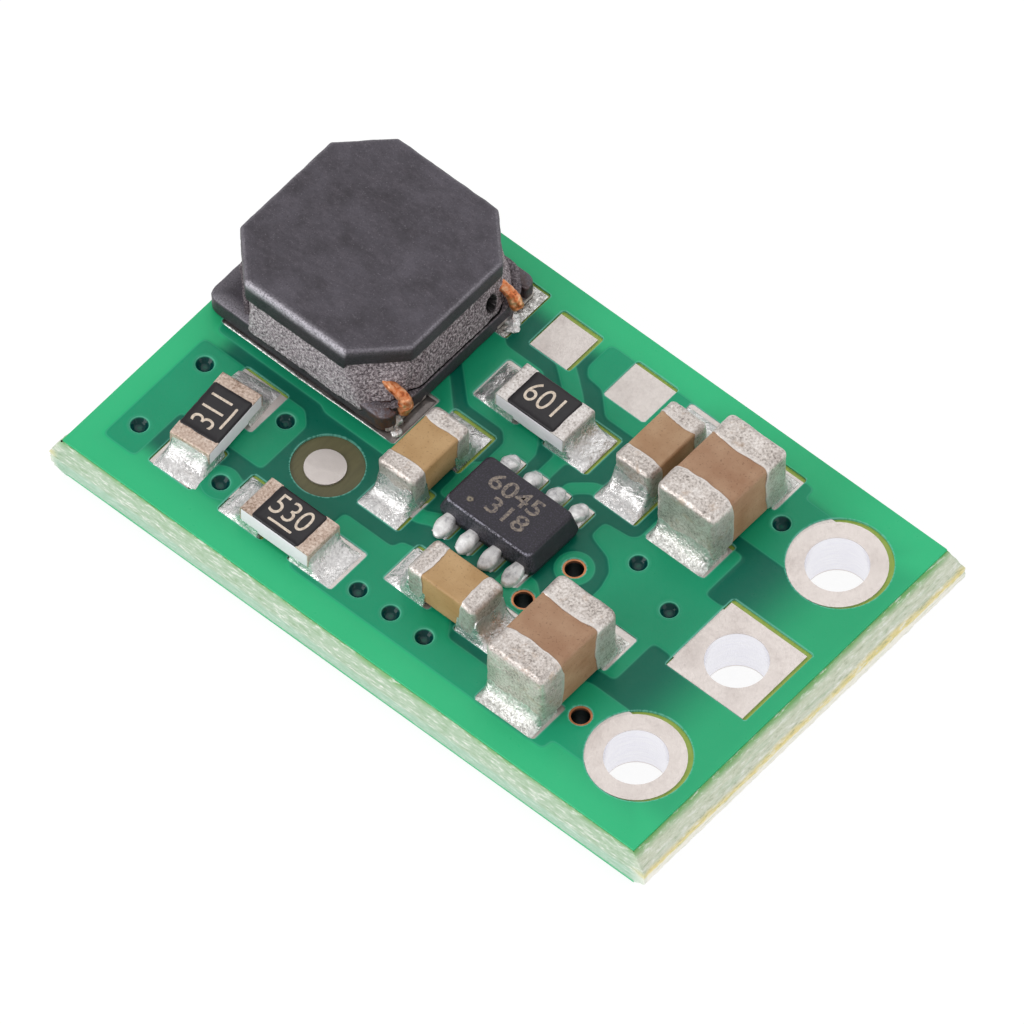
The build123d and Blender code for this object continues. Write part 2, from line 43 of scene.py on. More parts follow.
# The board's heights and places, as the part has them
board = {
    "shift": -0.08,  # from the layout's x to the model's
    "left": -6.32, "right": 6.16, "half": 3.955,
    "laminateLow": 0.065, "laminateTop": 0.935, "copperTop": 0.975, "maskTop": 1.0, "seat": 1.03,
    "lipLeft": 0.14, "lipRight": 0.30, "lipSide": 0.08, "web": 0.26,
    "maskMargin": 0.05, "maskShift": (0.02, 0.04),
}
pinHoles = [(5.07, -2.54, "round"), (5.07, 0.0, "square"), (5.07, 2.54, "round")]
pin = {"round": 0.855, "square": 1.64, "gap": 0.20}
tentedVias = [
    (-5.46, -1.28), (-5.47, -2.91), (-3.69, -1.27), (-3.69, -2.90), (-0.56, -3.03),
    (0.15, -3.03), (0.88, -3.03), (2.58, 0.40), (3.58, 0.02), (3.85, 2.55),
]
openVias = [(1.85, -0.37), (1.62, -1.39), (3.85, -2.52)]
via = {"bore": 0.165, "ring": 0.26, "wideRing": 0.33, "window": 0.203, "dimple": 0.10}
wideRings = [(-3.69, -2.90), (1.85, -0.37)]
fiducial = {"x": -2.60, "y": -1.52, "radius": 0.36, "window": 0.63}
copperAreas = [
    [(-5.80, -0.90), (-3.60, -0.90), (-3.37, -1.13), (-3.37, -2.25), (-5.13, -2.25),
     (-5.13, -3.42), (-5.80, -3.42)],
    [(-1.73, -2.03), (-0.68, -2.03), (-0.64, -1.84), (-0.40, -1.80), (0.50, -1.68),
     (1.02, -2.57), (1.18, -2.80), (2.30, -2.80), (2.30, -2.30), (3.60, -1.93),
     (4.70, -1.93), (4.70, -3.18), (3.80, -3.18), (3.80, -3.42), (-1.73, -3.42)],
    [(1.02, -1.00), (1.55, -0.98), (2.00, -1.35), (2.10, -2.48), (1.32, -2.48), (1.02, -1.62)],
    [(2.27, 1.62), (3.80, 1.62), (3.80, 0.63), (4.60, 0.63), (4.60, -0.63), (3.80, -0.63),
     (3.80, -1.62), (2.45, -1.62), (2.45, -0.38), (2.36, -0.05), (2.13, 0.17), (1.82, 0.26),
     (1.64, 0.32), (1.64, 0.64), (2.16, 0.69), (2.27, 0.80)],
    [(-0.62, 3.42), (3.80, 3.42), (3.80, 3.17), (4.70, 3.17), (4.70, 1.92), (2.25, 1.92),
     (2.15, 2.27), (0.26, 2.27), (-0.15, 2.66), (-0.48, 2.69), (-0.62, 2.85)],
    [(-2.30, 3.30), (-2.12, 2.42), (-1.95, 2.27), (-1.12, 2.27), (-0.30, 1.17), (-0.13, 0.93),
     (-0.13, 0.50), (-0.20, -0.68), (-0.83, -0.68), (-0.83, 0.10), (-0.66, 0.25), (-0.66, 0.78),
     (-0.86, 0.97), (-1.62, 0.97), (-2.40, 1.68), (-3.40, 2.30), (-3.40, 3.30)],
    [(-5.76, -0.62), (-3.45, -0.62), (-3.33, -0.70), (-1.70, -0.70), (-0.94, 0.62),
     (-1.70, 0.66), (-2.30, 1.24), (-3.20, 1.24), (-5.76, 0.60)],
]
tracks = [
    ([(-1.05, 2.72), (-0.42, 2.24), (0.10, 1.75)], 0.28),
    ([(0.24, 1.40), (0.24, 0.55)], 0.22),
    ([(1.35, 1.07), (1.05, 1.06), (0.75, 0.80), (0.73, 0.50)], 0.20),
    ([(-1.05, -1.22), (-0.75, -1.26), (-0.35, -1.04)], 0.24),
    ([(-4.30, -2.95), (-3.69, -2.91), (-2.95, -2.91)], 0.20),
]

# Sizes of the small parts, and how far their solder runs out and climbs
smallCap = {"length": 1.50, "width": 0.78, "height": 0.76, "band": 0.33, "toe": 0.45,
            "padWidth": 0.82, "run": 0.36, "climb": 0.50}
largeCap = {"length": 1.92, "width": 1.25, "height": 1.25, "band": 0.52, "toe": 0.31,
            "padWidth": 1.19, "run": 0.26, "climb": 0.24}
resistorSize = {"length": 1.50, "width": 0.80, "height": 0.42, "band": 0.29, "toe": 0.45,
                "padWidth": 0.84, "run": 0.38, "climb": 0.62}
# Each one's name, middle, angle of its length, size and then its ceramic or its digits
capacitors = [
    ("capacitor_1", -1.31, -0.51, 90, smallCap, "tan"),
    ("capacitor_2", 0.82, -2.17, 0, smallCap, "tan"),
    ("capacitor_3", 1.575, 2.13, 90, smallCap, "warm"),
    ("capacitor_4", 2.93, 2.10, 90, largeCap, "brown"),
    ("capacitor_5", 2.91, -2.17, 90, largeCap, "brown"),
]
resistors = [
    ("resistor_1", -4.46, -2.13, 95, resistorSize, "311"),
    ("resistor_2", -2.17, -2.90, 0, resistorSize, "530"),
    ("resistor_3", -0.50, 1.60, 0, resistorSize, "601"),
]
barePads = [(-1.27, 2.97), (0.34, 3.00)]
barePadSide = 0.80
padUnderPart = 0.43  # how far a pad reaches in under its part
chip = {"x": 0.46, "y": -0.34, "length": 2.10, "width": 1.20, "low": 1.025, "top": 1.505,
        "leads": (-0.29, 0.21, 0.71, 1.21), "padOut": 0.79, "padSize": (0.24, 0.34)}
coil = {"x": -4.22, "y": 1.51, "baseLow": 1.10, "baseTop": 1.38, "flangeLow": 2.23,
        "flangeTop": 2.60, "padX": -3.955, "padLength": 3.71, "padWidth": 1.08,
        "padY": (0.10, 2.92)}


def lumps(points, size, seed):
    # smooth uneven field, about -1 to 1: a sum of sine waves in random directions
    draw = np.random.default_rng(seed)
    waves = draw.normal(size=(3, 9))
    waves *= tau / size / np.linalg.norm(waves, axis=0) * draw.uniform(0.6, 1.5, 9)
    return np.sin(points @ waves + draw.uniform(0, tau, 9)).sum(-1) / 4.5


def ease(low, high, x):
    # 0 below low, 1 above high, and 3t2 - 2t3 between
    t = np.clip((x - low) / (high - low), 0, 1)
    return t * t * (3 - 2 * t)


def discField(x, y, cx, cy, radius):
    # signed distance to a circle: distance to its middle less the radius
    return np.hypot(x - cx, y - cy) - radius


def slabField(x, y, cx, cy, length, width, turn=0.0, corner=0.0):
    # signed distance to a turned rectangle with round corners
    c, s = cos(radians(turn)), sin(radians(turn))
    a = np.abs((x - cx) * c + (y - cy) * s) - length / 2 + corner
    b = np.abs(-(x - cx) * s + (y - cy) * c) - width / 2 + corner
    return np.hypot(np.maximum(a, 0), np.maximum(b, 0)) + np.minimum(np.maximum(a, b), 0) - corner


def runField(x, y, start, end):
    # distance to a straight run between two points
    (ax, ay), (bx, by) = start, end
    ex, ey = bx - ax, by - ay
    t = np.clip(((x - ax) * ex + (y - ay) * ey) / (ex * ex + ey * ey), 0, 1)
    return np.hypot(x - ax - t * ex, y - ay - t * ey)


def outlineField(x, y, corners):
    # signed distance to a closed outline: nearest edge, negative where the edges wind round
    inside, best = np.zeros(x.shape, bool), []
    for (ax, ay), (bx, by) in zip(corners, corners[1:] + corners[:1]):
        best.append(runField(x, y, (ax, ay), (bx, by)))
        if by != ay:
            inside ^= ((ay > y) != (by > y)) & (x < (bx - ax) * (y - ay) / (by - ay) + ax)
    best = np.minimum.reduce(best)
    return np.where(inside, -best, best)


def trackField(x, y, points, width):
    # signed distance to a line of one width: nearest of its runs less half the width
    runs = [runField(x, y, start, end) for start, end in zip(points, points[1:])]
    return np.minimum.reduce(runs) - width / 2


def roundCorners(corners, radii, arc=7, run=6):
    # outline of a polygon with round corners: arc points at each corner, run points along each side
    p = np.array(corners, float)
    r = np.broadcast_to(np.array(radii, float), (len(p),))
    before, after = np.roll(p, 1, 0) - p, np.roll(p, -1, 0) - p
    before /= np.linalg.norm(before, axis=1)[:, None]
    after /= np.linalg.norm(after, axis=1)[:, None]
    half = np.arccos(np.clip((before * after).sum(1), -1, 1)) / 2
    cut = r / np.tan(half)
    start, end = p + before * cut[:, None], p + after * cut[:, None]
    bisector = before + after
    bisector /= np.linalg.norm(bisector, axis=1)[:, None]
    middle = p + bisector * (r / np.sin(half))[:, None]
    t = np.linspace(0, 1, arc)[None, :, None]
    a, b = (start - middle)[:, None], (end - middle)[:, None]
    sweep = (pi - 2 * half)[:, None, None]
    arcs = middle[:, None] + (np.sin((1 - t) * sweep) * a + np.sin(t * sweep) * b) / np.sin(sweep)
    s = np.linspace(0, 1, run + 2)[1:-1][None, :, None]
    runs = end[:, None] * (1 - s) + np.roll(start, -1, 0)[:, None] * s
    return np.concatenate([arcs, runs], 1).reshape(-1, 2)


def rightAngleBox(length, width):
    # corners of a rectangle round the origin
    a, b = length / 2, width / 2
    return [(a, -b), (a, b), (-a, b), (-a, -b)]


def eightSides(length, width, cut):
    # corners of a rectangle with its own corners cut off, round the origin
    a, b = length / 2, width / 2
    return [(a, -b + cut), (a, b - cut), (a - cut, b), (-a + cut, b),
            (-a, b - cut), (-a, -b + cut), (-a + cut, -b), (a - cut, -b)]


def outward(loop):
    # unit normals of a closed loop: its tangent turned a quarter
    t = np.roll(loop, -1, 0) - np.roll(loop, 1, 0)
    n = np.stack([t[:, 1], -t[:, 0]], 1)
    return n / np.linalg.norm(n, axis=1)[:, None]


def stack(loop, profile):
    # the loop moved along its normals by each offset of the profile, at that height
    n = outward(loop)
    rings = [np.column_stack([loop + n * out, np.full(len(loop), z)]) for out, z in profile]
    return np.array(rings)


def shrink(ring, shares, middle=None):
    # rings drawn in towards the middle by each share, down to a point
    middle = ring.mean(0) if middle is None else np.array(middle)
    return np.array([middle + (ring - middle) * share for share in shares])


def capped(rings, first=(0.0,), last=(0.0,)):
    # closes both ends of a row of rings with smaller copies of its first and last
    return np.concatenate([shrink(rings[0], first), rings, shrink(rings[-1], last)])


def roundOver(radius, high):
    # profile of a rounded edge: a quarter circle that ends level at that height
    return [(-radius + radius * cos(a), high - radius + radius * sin(a))
            for a in np.linspace(0, pi / 2, 6)[1:]]


def roundedTip(t, start):
    # 1 up to start, then down to 0 at the end in a quarter circle
    return np.sqrt(np.maximum(1 - np.maximum((t - start) / (1 - start), 0) ** 2, 0))


def arches(count):
    # numbers from -1 to 1 that crowd together at both ends, as a sine does
    return np.sin(np.linspace(-pi / 2, pi / 2, count))


def sheet(points, closeRows=False, closeColumns=True):
    # one quad for each cell of a grid of points
    rows, columns = points.shape[:2]
    i = np.arange(rows if closeRows else rows - 1)[:, None]
    j = np.arange(columns if closeColumns else columns - 1)[None, :]
    k, m = (i + 1) % rows, (j + 1) % columns
    cells = np.stack([i * columns + j, i * columns + m, k * columns + m, k * columns + j], -1)
    return points.reshape(-1, 3), cells.reshape(-1, 4)


def place(points, x, y, z=0.0, turn=0.0):
    # turns points about the vertical and moves them, from a part's own frame to the model's
    c, s = cos(radians(turn)), sin(radians(turn))
    px, py, pz = points[..., 0], points[..., 1], points[..., 2]
    return np.stack([board["shift"] + x + px * c - py * s, y + px * s + py * c, z + pz], -1)


def heap(x, y, z, low, *where):
    # a surface of heights and the flat one under it, both put in their place
    return [sheet(place(np.stack([x, y, level], -1), *where), False, False)
            for level in (z, np.full(z.shape, low))]


def hang(name, mesh, finish, stands=()):
    # puts a mesh into the scene as a piece that rides on the board
    mesh.materials.append(finish)
    piece = bpy.data.objects.new(name, mesh)
    bpy.context.scene.collection.objects.link(piece)
    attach(piece, "root")
    if stands:
        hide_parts(*stands)


def makePiece(name, parts, finish, stands=(), angle=40, fields=None, closed=True):
    # joins sheets of points into one mesh and closes what is open
    points = np.concatenate([p for p, f in parts])
    starts = np.cumsum([0] + [len(p) for p, f in parts[:-1]])
    faces = np.concatenate([f + s for (p, f), s in zip(parts, starts)])
    mesh = bpy.data.meshes.new(name)
    mesh.from_pydata((points * mm).tolist(), [], faces.tolist())
    for label, values in (fields or {}).items():
        mesh.attributes.new(label, "FLOAT", "POINT").data.foreach_set(
            "value", np.asarray(values, np.float32))
    if closed:
        shape = bmesh.new()
        shape.from_mesh(mesh)
        bmesh.ops.remove_doubles(shape, verts=shape.verts, dist=2e-8)
        bmesh.ops.holes_fill(shape, edges=shape.edges, sides=0)
        bmesh.ops.recalc_face_normals(shape, faces=shape.faces)
        shape.to_mesh(mesh)
        shape.free()
    mesh.shade_smooth()
    mesh.set_sharp_from_angle(angle=radians(angle))
    hang(name, mesh, finish, stands)


def tone(r, g, b):
    # a colour as seen on screen, 0 to 255, as the linear colour that Blender wants
    c = np.array([r, g, b]) / 255
    return (*np.where(c <= 0.04045, c / 12.92, ((c + 0.055) / 1.055) ** 2.4), 1.0)

def addNode(tree, kind, output=0, settings=None, **links):
    # a node with its sockets set or linked; gives back one of its outputs
    made = tree.nodes.new(kind)
    for key, value in (settings or {}).items():
        setattr(made, key, value)
    for key, value in links.items():
        socket = made.inputs[int(key[2:])] if key.startswith("in") else made.inputs[key]
        if isinstance(value, bpy.types.NodeSocket):
            tree.links.new(value, socket)
        else:
            socket.default_value = value
    return made.outputs[output]


def reckon(tree, how, *values):
    links = {f"in{index}": value for index, value in enumerate(values)}
    return addNode(tree, "ShaderNodeMath", 0, {"operation": how}, **links)


class Look:
    # a material, with its patterns measured in the piece's own millimetres
    def __init__(self, name, rough=0.5, metal=0.0, shine=0.5):
        self.finish = bpy.data.materials.new(name)
        self.finish.use_nodes = True
        self.tree = self.finish.node_tree
        self.skin = self.tree.nodes["Principled BSDF"].inputs
        self.skin["Roughness"].default_value = rough
        self.skin["Metallic"].default_value = metal
        self.skin["Specular IOR Level"].default_value = shine
        self.at = self.grid()

    def add(self, kind, output=0, settings=None, **links):
        return addNode(self.tree, kind, output, settings, **links)

    def grid(self, stretch=(1, 1, 1), turn=0.0):
        # coordinates in millimetres, stretched along each axis and turned about the vertical
        own = self.add("ShaderNodeTexCoord", "Object")
        grown = tuple(1000 * share for share in stretch)
        return self.add("ShaderNodeMapping", in0=own, in3=grown, in2=(0, 0, turn))

    def noise(self, scale, detail=3.0, rough=0.55, twist=0.0, at=None):
        return self.add("ShaderNodeTexNoise", "Fac", Vector=at or self.at, Scale=scale,
                        Detail=detail, Roughness=rough, Distortion=twist)

    def strands(self, stretch, detail, rough=0.55):
        # noise drawn out along some axes
        return self.noise(1.0, detail, rough, at=self.grid(stretch))

    def height(self):
        return self.add("ShaderNodeSeparateXYZ", "Z", Vector=self.at)

    def field(self, name):
        return self.add("ShaderNodeAttribute", "Fac", {"attribute_name": name})

    def ramp(self, fac, *stops):
        # each stop is a place from 0 to 1 and a colour or a grey
        made = self.tree.nodes.new("ShaderNodeValToRGB")
        band = made.color_ramp
        while len(band.elements) < len(stops):
            band.elements.new(0.5)
        for element, (at, value) in zip(band.elements, stops):
            element.position = at
            element.color = value if isinstance(value, tuple) else (value, value, value, 1)
        self.tree.links.new(fac, made.inputs["Fac"])
        return made.outputs["Color"]

    def blend(self, fac, a, b):
        return self.add("ShaderNodeMix", 2, {"data_type": "RGBA"}, in0=fac, in6=a, in7=b)

    def layers(self, colour, *coats):
        # each coat is where it lies, from 0 to 1, and its colour
        for where, shade in coats:
            colour = self.blend(where, colour, shade)
        return colour

    def plus(self, value, by):
        return reckon(self.tree, "ADD", value, by)

    def times(self, a, b):
        return reckon(self.tree, "MULTIPLY", a, b)

    def scaled(self, value, by, more):
        return reckon(self.tree, "MULTIPLY_ADD", value, by, more)

    def paint(self, colour, rough=None):
        self.tree.links.new(colour, self.skin["Base Color"])
        if rough is not None:
            self.tree.links.new(rough, self.skin["Roughness"])

    def bumps(self, height, depth, strength=1.0, **under):
        # bumps from a height from 0 to 1, of that depth in millimetres
        made = self.add("ShaderNodeBump", Height=height, Distance=depth * mm, Strength=strength,
                        **under)
        self.tree.links.new(made, self.skin["Normal"])
        return made


def makeLacquer():
    # green lacquer: mid green over copper, pale at the board's rim, and dark teal in the gaps where
    # painted shade stands for the underside's copper beneath the sheet; a fine paler line along the
    # copper's outline, part thinner lacquer and part painted highlight; painted shade in the sunk
    # vias with a painted highlight ring round them, and a painted highlight round the windows
    look = Look("green lacquer", 0.34, shine=0.22)
    cloud = look.noise(0.35)
    # clear is the lacquer's own pale green; gap is the painted shade of the underside's copper
    # beneath the sheet
    clear = look.blend(cloud, tone(38, 182, 120), tone(58, 201, 138))
    gap = look.blend(cloud, tone(0, 94, 76), tone(0, 112, 88))
    cover = look.blend(cloud, tone(10, 132, 95), tone(30, 170, 122))
    toCopper = look.plus(look.field("toCopper"), 0.5)
    toMiddle, toWindow = look.field("toMiddle"), look.field("toWindow")
    onCopper = look.ramp(toCopper, (0.495, 1.0), (0.535, 0.0))
    # a fine paler line along the copper's outline: part thinner lacquer, part painted highlight
    outlineThinCoatAndSheen = look.ramp(toCopper, (0.494, 0.0), (0.506, 0.32), (0.526, 0.0))
    # painted shade in the sunk vias, a little lighter at their middle as a painted highlight, and a
    # painted highlight ring round their edge
    well = look.ramp(toMiddle, (0.020, 0.82), (0.055, 1.0), (0.146, 1.0), (0.162, 0.0))
    rim = look.ramp(toMiddle, (0.154, 0.0), (0.166, 0.62), (0.182, 0.10), (0.230, 0.0))
    # painted highlight: a thin pale line along the edge of each window
    windowEdgeHighlight = look.ramp(toWindow, (0.0, 0.75), (0.014, 0.4), (0.028, 0.0))
    colour = look.layers(
        look.blend(look.field("under"), clear, gap), (onCopper, cover), (outlineThinCoatAndSheen, tone(84, 182, 150)),
        (well, tone(2, 60, 58)), (rim, tone(118, 200, 176)), (windowEdgeHighlight, tone(124, 204, 186)))
    matt = look.ramp(look.noise(9, 5, 0.6), (0.3, 0.27), (0.7, 0.40))
    look.paint(colour, look.blend(well, matt, (0.08, 0.08, 0.08, 1.0)))
    look.bumps(look.noise(5, 4), 0.006, 0.6)
    return look.finish


def makeFibreEdge():
    # the snapped side of the sheet, by height: a mossy brow, speckled fibres, a smoother paler
    # half below; the end side has a yellow seam and is cream under it
    look = Look("fibre edge", 0.62, shine=0.3)
    atEnd = look.field("atEnd")
    sway = look.strands((0.7, 0.7, 1), 3)
    level = look.plus(look.scaled(sway, 0.16, look.height()), -0.08)
    side = look.ramp(level, (0.08, tone(90, 188, 138)), (0.15, tone(172, 210, 186)),
                     (0.46, tone(176, 208, 186)), (0.54, tone(186, 207, 184)),
                     (0.84, tone(182, 205, 178)), (0.93, tone(136, 184, 124)))
    end = look.ramp(level, (0.10, tone(255, 253, 247)), (0.51, tone(255, 251, 238)),
                    (0.57, tone(246, 228, 156)), (0.63, tone(238, 222, 158)),
                    (0.68, tone(220, 224, 206)), (0.84, tone(212, 220, 196)),
                    (0.92, tone(120, 180, 106)))
    dots = look.blend(atEnd, look.strands((5, 13, 22), 4, 0.66),
                      look.strands((17, 4.2, 20), 4, 0.75))
    upper = look.ramp(level, (0.16, 0.30), (0.48, 0.45), (0.56, 1.0), (0.86, 0.7))
    strands = look.strands((1.4, 1.4, 26), 5, 0.6)
    look.paint(look.layers(
        look.blend(atEnd, side, end),
        (look.times(look.ramp(dots, (0.52, 0.0), (0.66, 0.9)), upper), tone(250, 251, 244)),
        (look.times(look.ramp(dots, (0.32, 0.75), (0.46, 0.0)), upper),
         look.blend(atEnd, tone(140, 176, 130), tone(160, 172, 140))),
        (look.ramp(strands, (0.30, 0.35), (0.50, 0.0)), tone(150, 190, 150))))
    look.bumps(dots, 0.022, 0.7)
    return look.finish


def makeSheetFace():
    # bare laminate in the lacquer's windows, brown round the mark and mossy elsewhere
    look = Look("bare laminate", 0.45, shine=0.4)
    weave = look.noise(2.2, at=look.grid((6, 1, 1)))
    mark = (fiducial["x"] + board["shift"], fiducial["y"], board["laminateTop"])
    away = look.add("ShaderNodeVectorMath", "Value", {"operation": "DISTANCE"}, in0=look.at,
                    in1=mark)
    brown = look.blend(weave, tone(84, 82, 56), tone(110, 104, 70))
    mossy = look.blend(weave, tone(150, 172, 68), tone(186, 203, 98))
    look.paint(look.blend(look.ramp(away, (0.74, 0.0), (0.80, 1.0)), brown, mossy))
    look.bumps(weave, 0.01, 0.5)
    return look.finish


def makeTinned(name, dark, light, rough=0.34, smear=0.5, wall=None):
    # matt tin over copper: a pale pinkish grey with faint smudges; down in a barrel the wall is
    # painted near white with white streaks, as painted light and reflection
    look = Look(name, rough, 0.82)
    fine = look.noise(24, 3, 0.7)
    cloud = look.ramp(look.noise(1.3, 4, 0.55, 0.4), (0.25, dark), (0.50, light), (0.85, dark))
    colour = look.blend(look.ramp(fine, (0.34, 0.30), (0.48, 0.0)), cloud, dark)
    gloss = look.ramp(fine, (0.3, rough - 0.08), (0.7, rough + 0.12))
    # painted light and reflection: inside the barrel the wall gets a near white colour and white
    # streaks
    if wall:
        below = look.ramp(look.height(), (0.028, 0.0), (0.060, 1.0), (0.945, 1.0), (0.972, 0.0))
        streak = look.noise(3.0, 4, at=look.grid((1, 1, 12)))
        colour = look.blend(below, colour, look.blend(streak, wall, tone(255, 255, 255)))
        gloss = look.blend(below, gloss, (0.16, 0.16, 0.16, 1.0))
    look.paint(colour, gloss)
    look.bumps(fine, 0.004, smear)
    return look.finish


def makeCopper():
    # bare copper of the open vias, with painted shade down inside the barrels: nearly black, with a
    # teal painted reflection
    look = Look("bare copper", 0.45, 0.8)
    rim = look.blend(look.noise(9, 4), tone(170, 98, 60), tone(226, 160, 116))
    # painted shade and reflection: everything lower than the top copper is painted nearly black
    # teal
    look.paint(look.blend(look.ramp(look.height(), (0.90, 0.0), (0.955, 1.0)), tone(12, 36, 34),
                          rim))
    look.bumps(look.noise(18), 0.006, 0.5)
    return look.finish


def makeCeramic(name, base, pale, dark):
    # fired ceramic: fine speckle over a soft cloud, with thin flow lines along the layers
    look = Look(name, 0.48, shine=0.42)
    flow = look.noise(1.6, at=look.grid((1, 1, 14)))
    look.paint(look.layers(
        look.ramp(look.noise(1.8, 4), (0.35, base), (0.70, pale)),
        (look.ramp(flow, (0.45, 0.0), (0.75, 0.35)), pale),
        (look.ramp(look.noise(26, 2, 0.6), (0.30, 0.55), (0.40, 0.0)), dark)))
    look.bumps(look.noise(16, 5, 0.7), 0.006, 0.5)
    return look.finish


def makeEndMetal(name, dark, mid, light, grain, stain=None, metal=0.38):
    # tinned end of a chip part: speckled, mottled and dented, with warm stains and a painted
    # highlight along its rim
    look = Look(name, 0.42, metal)
    mottle = look.noise(grain, 4, 0.62, 0.3)
    mixed = look.scaled(look.noise(2.6, 5, 0.6), 0.36, look.times(mottle, 0.64))
    patch = look.noise(3.4, 4, 0.66, 0.6)
    # the rim field lays a painted highlight along the metal's rim
    colour = look.layers(
        look.ramp(mixed, (0.36, dark), (0.47, mid), (0.62, light)),
        (look.ramp(patch, (0.57, 0.0), (0.68, 0.5)), stain or mid), (look.field("rim"), light))
    look.paint(colour, look.ramp(mottle, (0.35, 0.52), (0.65, 0.30)))
    dents = look.bumps(look.noise(7, 4, 0.6), 0.05, 0.8 * metal)
    look.bumps(mottle, 0.012, 0.65, Normal=dents)
    return look.finish


def makeSolder(name, dark, mid, light, smooth, dull, depth):
    # solder with a frosted skin: cloudy, dented and finely wrinkled
    look = Look(name, 0.3, 0.85, 0.6)
    frost = look.noise(20, 5, 0.66)
    look.paint(look.ramp(frost, (0.32, dark), (0.45, mid), (0.64, light)),
               look.ramp(look.noise(3.2), (0.35, smooth), (0.65, dull)))
    dents = look.bumps(look.noise(7, 4, 0.62, 0.4), 0.06, 0.75)
    look.bumps(frost, depth, 0.6, Normal=dents)
    return look.finish


def makeClouded(name, rough, scale, dark, light, grain, depth):
    # two tones in a soft cloud, with fine bumps
    look = Look(name, rough, shine=0.4)
    look.paint(look.blend(look.noise(scale, 4), dark, light))
    look.bumps(look.noise(*grain), depth, 0.5)
    return look.finish


def makeMarking(name, dark, light):
    look = Look(name)
    look.paint(look.ramp(look.noise(22, 4), (0.36, dark), (0.60, light)))
    look.bumps(look.noise(18), 0.004, 0.4)
    return look.finish


def makeMould():
    # moulded chip body: fine grain, near black with a violet cast, with a painted highlight on its
    # front side and along its top edge there
    look = Look("mould compound", 0.40)
    grain = look.noise(34, 4, 0.7)
    upper = look.ramp(grain, (0.30, tone(18, 14, 24)), (0.52, tone(32, 27, 39)),
                      (0.74, tone(78, 70, 88)))
    lower = look.ramp(grain, (0.30, tone(22, 20, 28)), (0.60, tone(40, 37, 48)),
                      (0.78, tone(74, 71, 84)))
    onTop = look.ramp(look.plus(look.height(), -1.0), (0.455, 0.0), (0.492, 1.0))
    # painted highlight on the front side and its top edge, where the edge field lies, broken up by
    # the grain
    frontHighlight = look.times(look.field("edge"), look.ramp(grain, (0.44, 0.0), (0.56, 1.0)))
    look.paint(look.layers(
        look.blend(onTop, lower, upper), (look.field("dot"), tone(150, 138, 118)),
        (frontHighlight, tone(168, 166, 182))), look.ramp(grain, (0.3, 0.32), (0.7, 0.52)))
    look.bumps(grain, 0.008, 0.6)
    return look.finish


def makeFerrite():
    # pressed ferrite: charcoal with faint brush marks, painted darker on its sides as shade, paler
    # where it is worn and where a highlight is painted, brown where stained
    look = Look("ferrite", shine=0.4)
    cloud = look.noise(1.6, 7, 0.66, 0.15)
    brush = look.noise(4.5, 6, 0.72, 0.2, at=look.grid((1, 2.2, 1), 0.5))
    grain = look.noise(34, 4, 0.72)
    # painted shade for the sides, and a pale colour that is both wear and painted highlight
    dim = look.ramp(grain, (0.34, tone(30, 29, 32)), (0.62, tone(62, 58, 64)))
    wearAndHighlight = look.ramp(grain, (0.34, tone(110, 106, 114)), (0.58, tone(206, 201, 210)))
    stain = look.times(look.ramp(look.noise(6, 5, 0.7), (0.42, 0.0), (0.56, 0.9)),
                       look.field("stain"))
    look.paint(look.layers(
        look.ramp(cloud, (0.32, tone(56, 51, 58)), (0.68, tone(85, 80, 89))),
        (look.ramp(brush, (0.48, 0.0), (0.76, 0.42)), tone(110, 103, 111)),
        (look.ramp(grain, (0.30, 0.6), (0.44, 0.0)), tone(34, 32, 38)),
        (look.ramp(grain, (0.60, 0.0), (0.76, 0.7)), tone(150, 145, 152)),
        (look.field("dim"), dim), (look.field("wearAndHighlight"), wearAndHighlight), (stain, tone(92, 58, 40))),
        look.ramp(brush, (0.3, 0.42), (0.7, 0.58)))
    look.bumps(grain, 0.010, 0.5)
    return look.finish


def makeResin():
    # resin filled with powder: strong salt-and-pepper grain, with painted shade in the crack and in
    # the pit and painted light on the sides that face the front
    look = Look("filled resin", 0.6, shine=0.35)
    grain = look.noise(25, 3, 0.72)
    pale = look.ramp(grain, (0.34, tone(112, 104, 110)), (0.50, tone(206, 197, 203)),
                     (0.64, tone(252, 248, 251)))
    # the lit field adds painted light, the dark field painted shade
    look.paint(look.layers(
        look.ramp(grain, (0.36, tone(54, 46, 50)), (0.46, tone(110, 99, 104)),
                  (0.55, tone(162, 149, 154)), (0.66, tone(222, 212, 217))),
        (look.ramp(look.noise(1.6), (0.4, 0.0), (0.7, 0.22)), tone(120, 113, 118)),
        (look.times(look.field("lit"), 0.45), pale), (look.field("film"), tone(84, 80, 85)),
        (look.field("dark"), tone(6, 5, 6))))
    look.bumps(grain, 0.035, 0.9)
    return look.finish


def makeMagnetWire():
    # enamelled copper: orange in a cloud from rusty brown to pale
    look = Look("magnet wire", 0.32, 0.55)
    look.paint(look.ramp(look.noise(9, 4, 0.6, 0.4), (0.32, tone(150, 72, 36)),
                         (0.45, tone(226, 128, 74)), (0.64, tone(250, 190, 146))))
    look.bumps(look.noise(16, 4), 0.012, 0.6)
    return look.finish


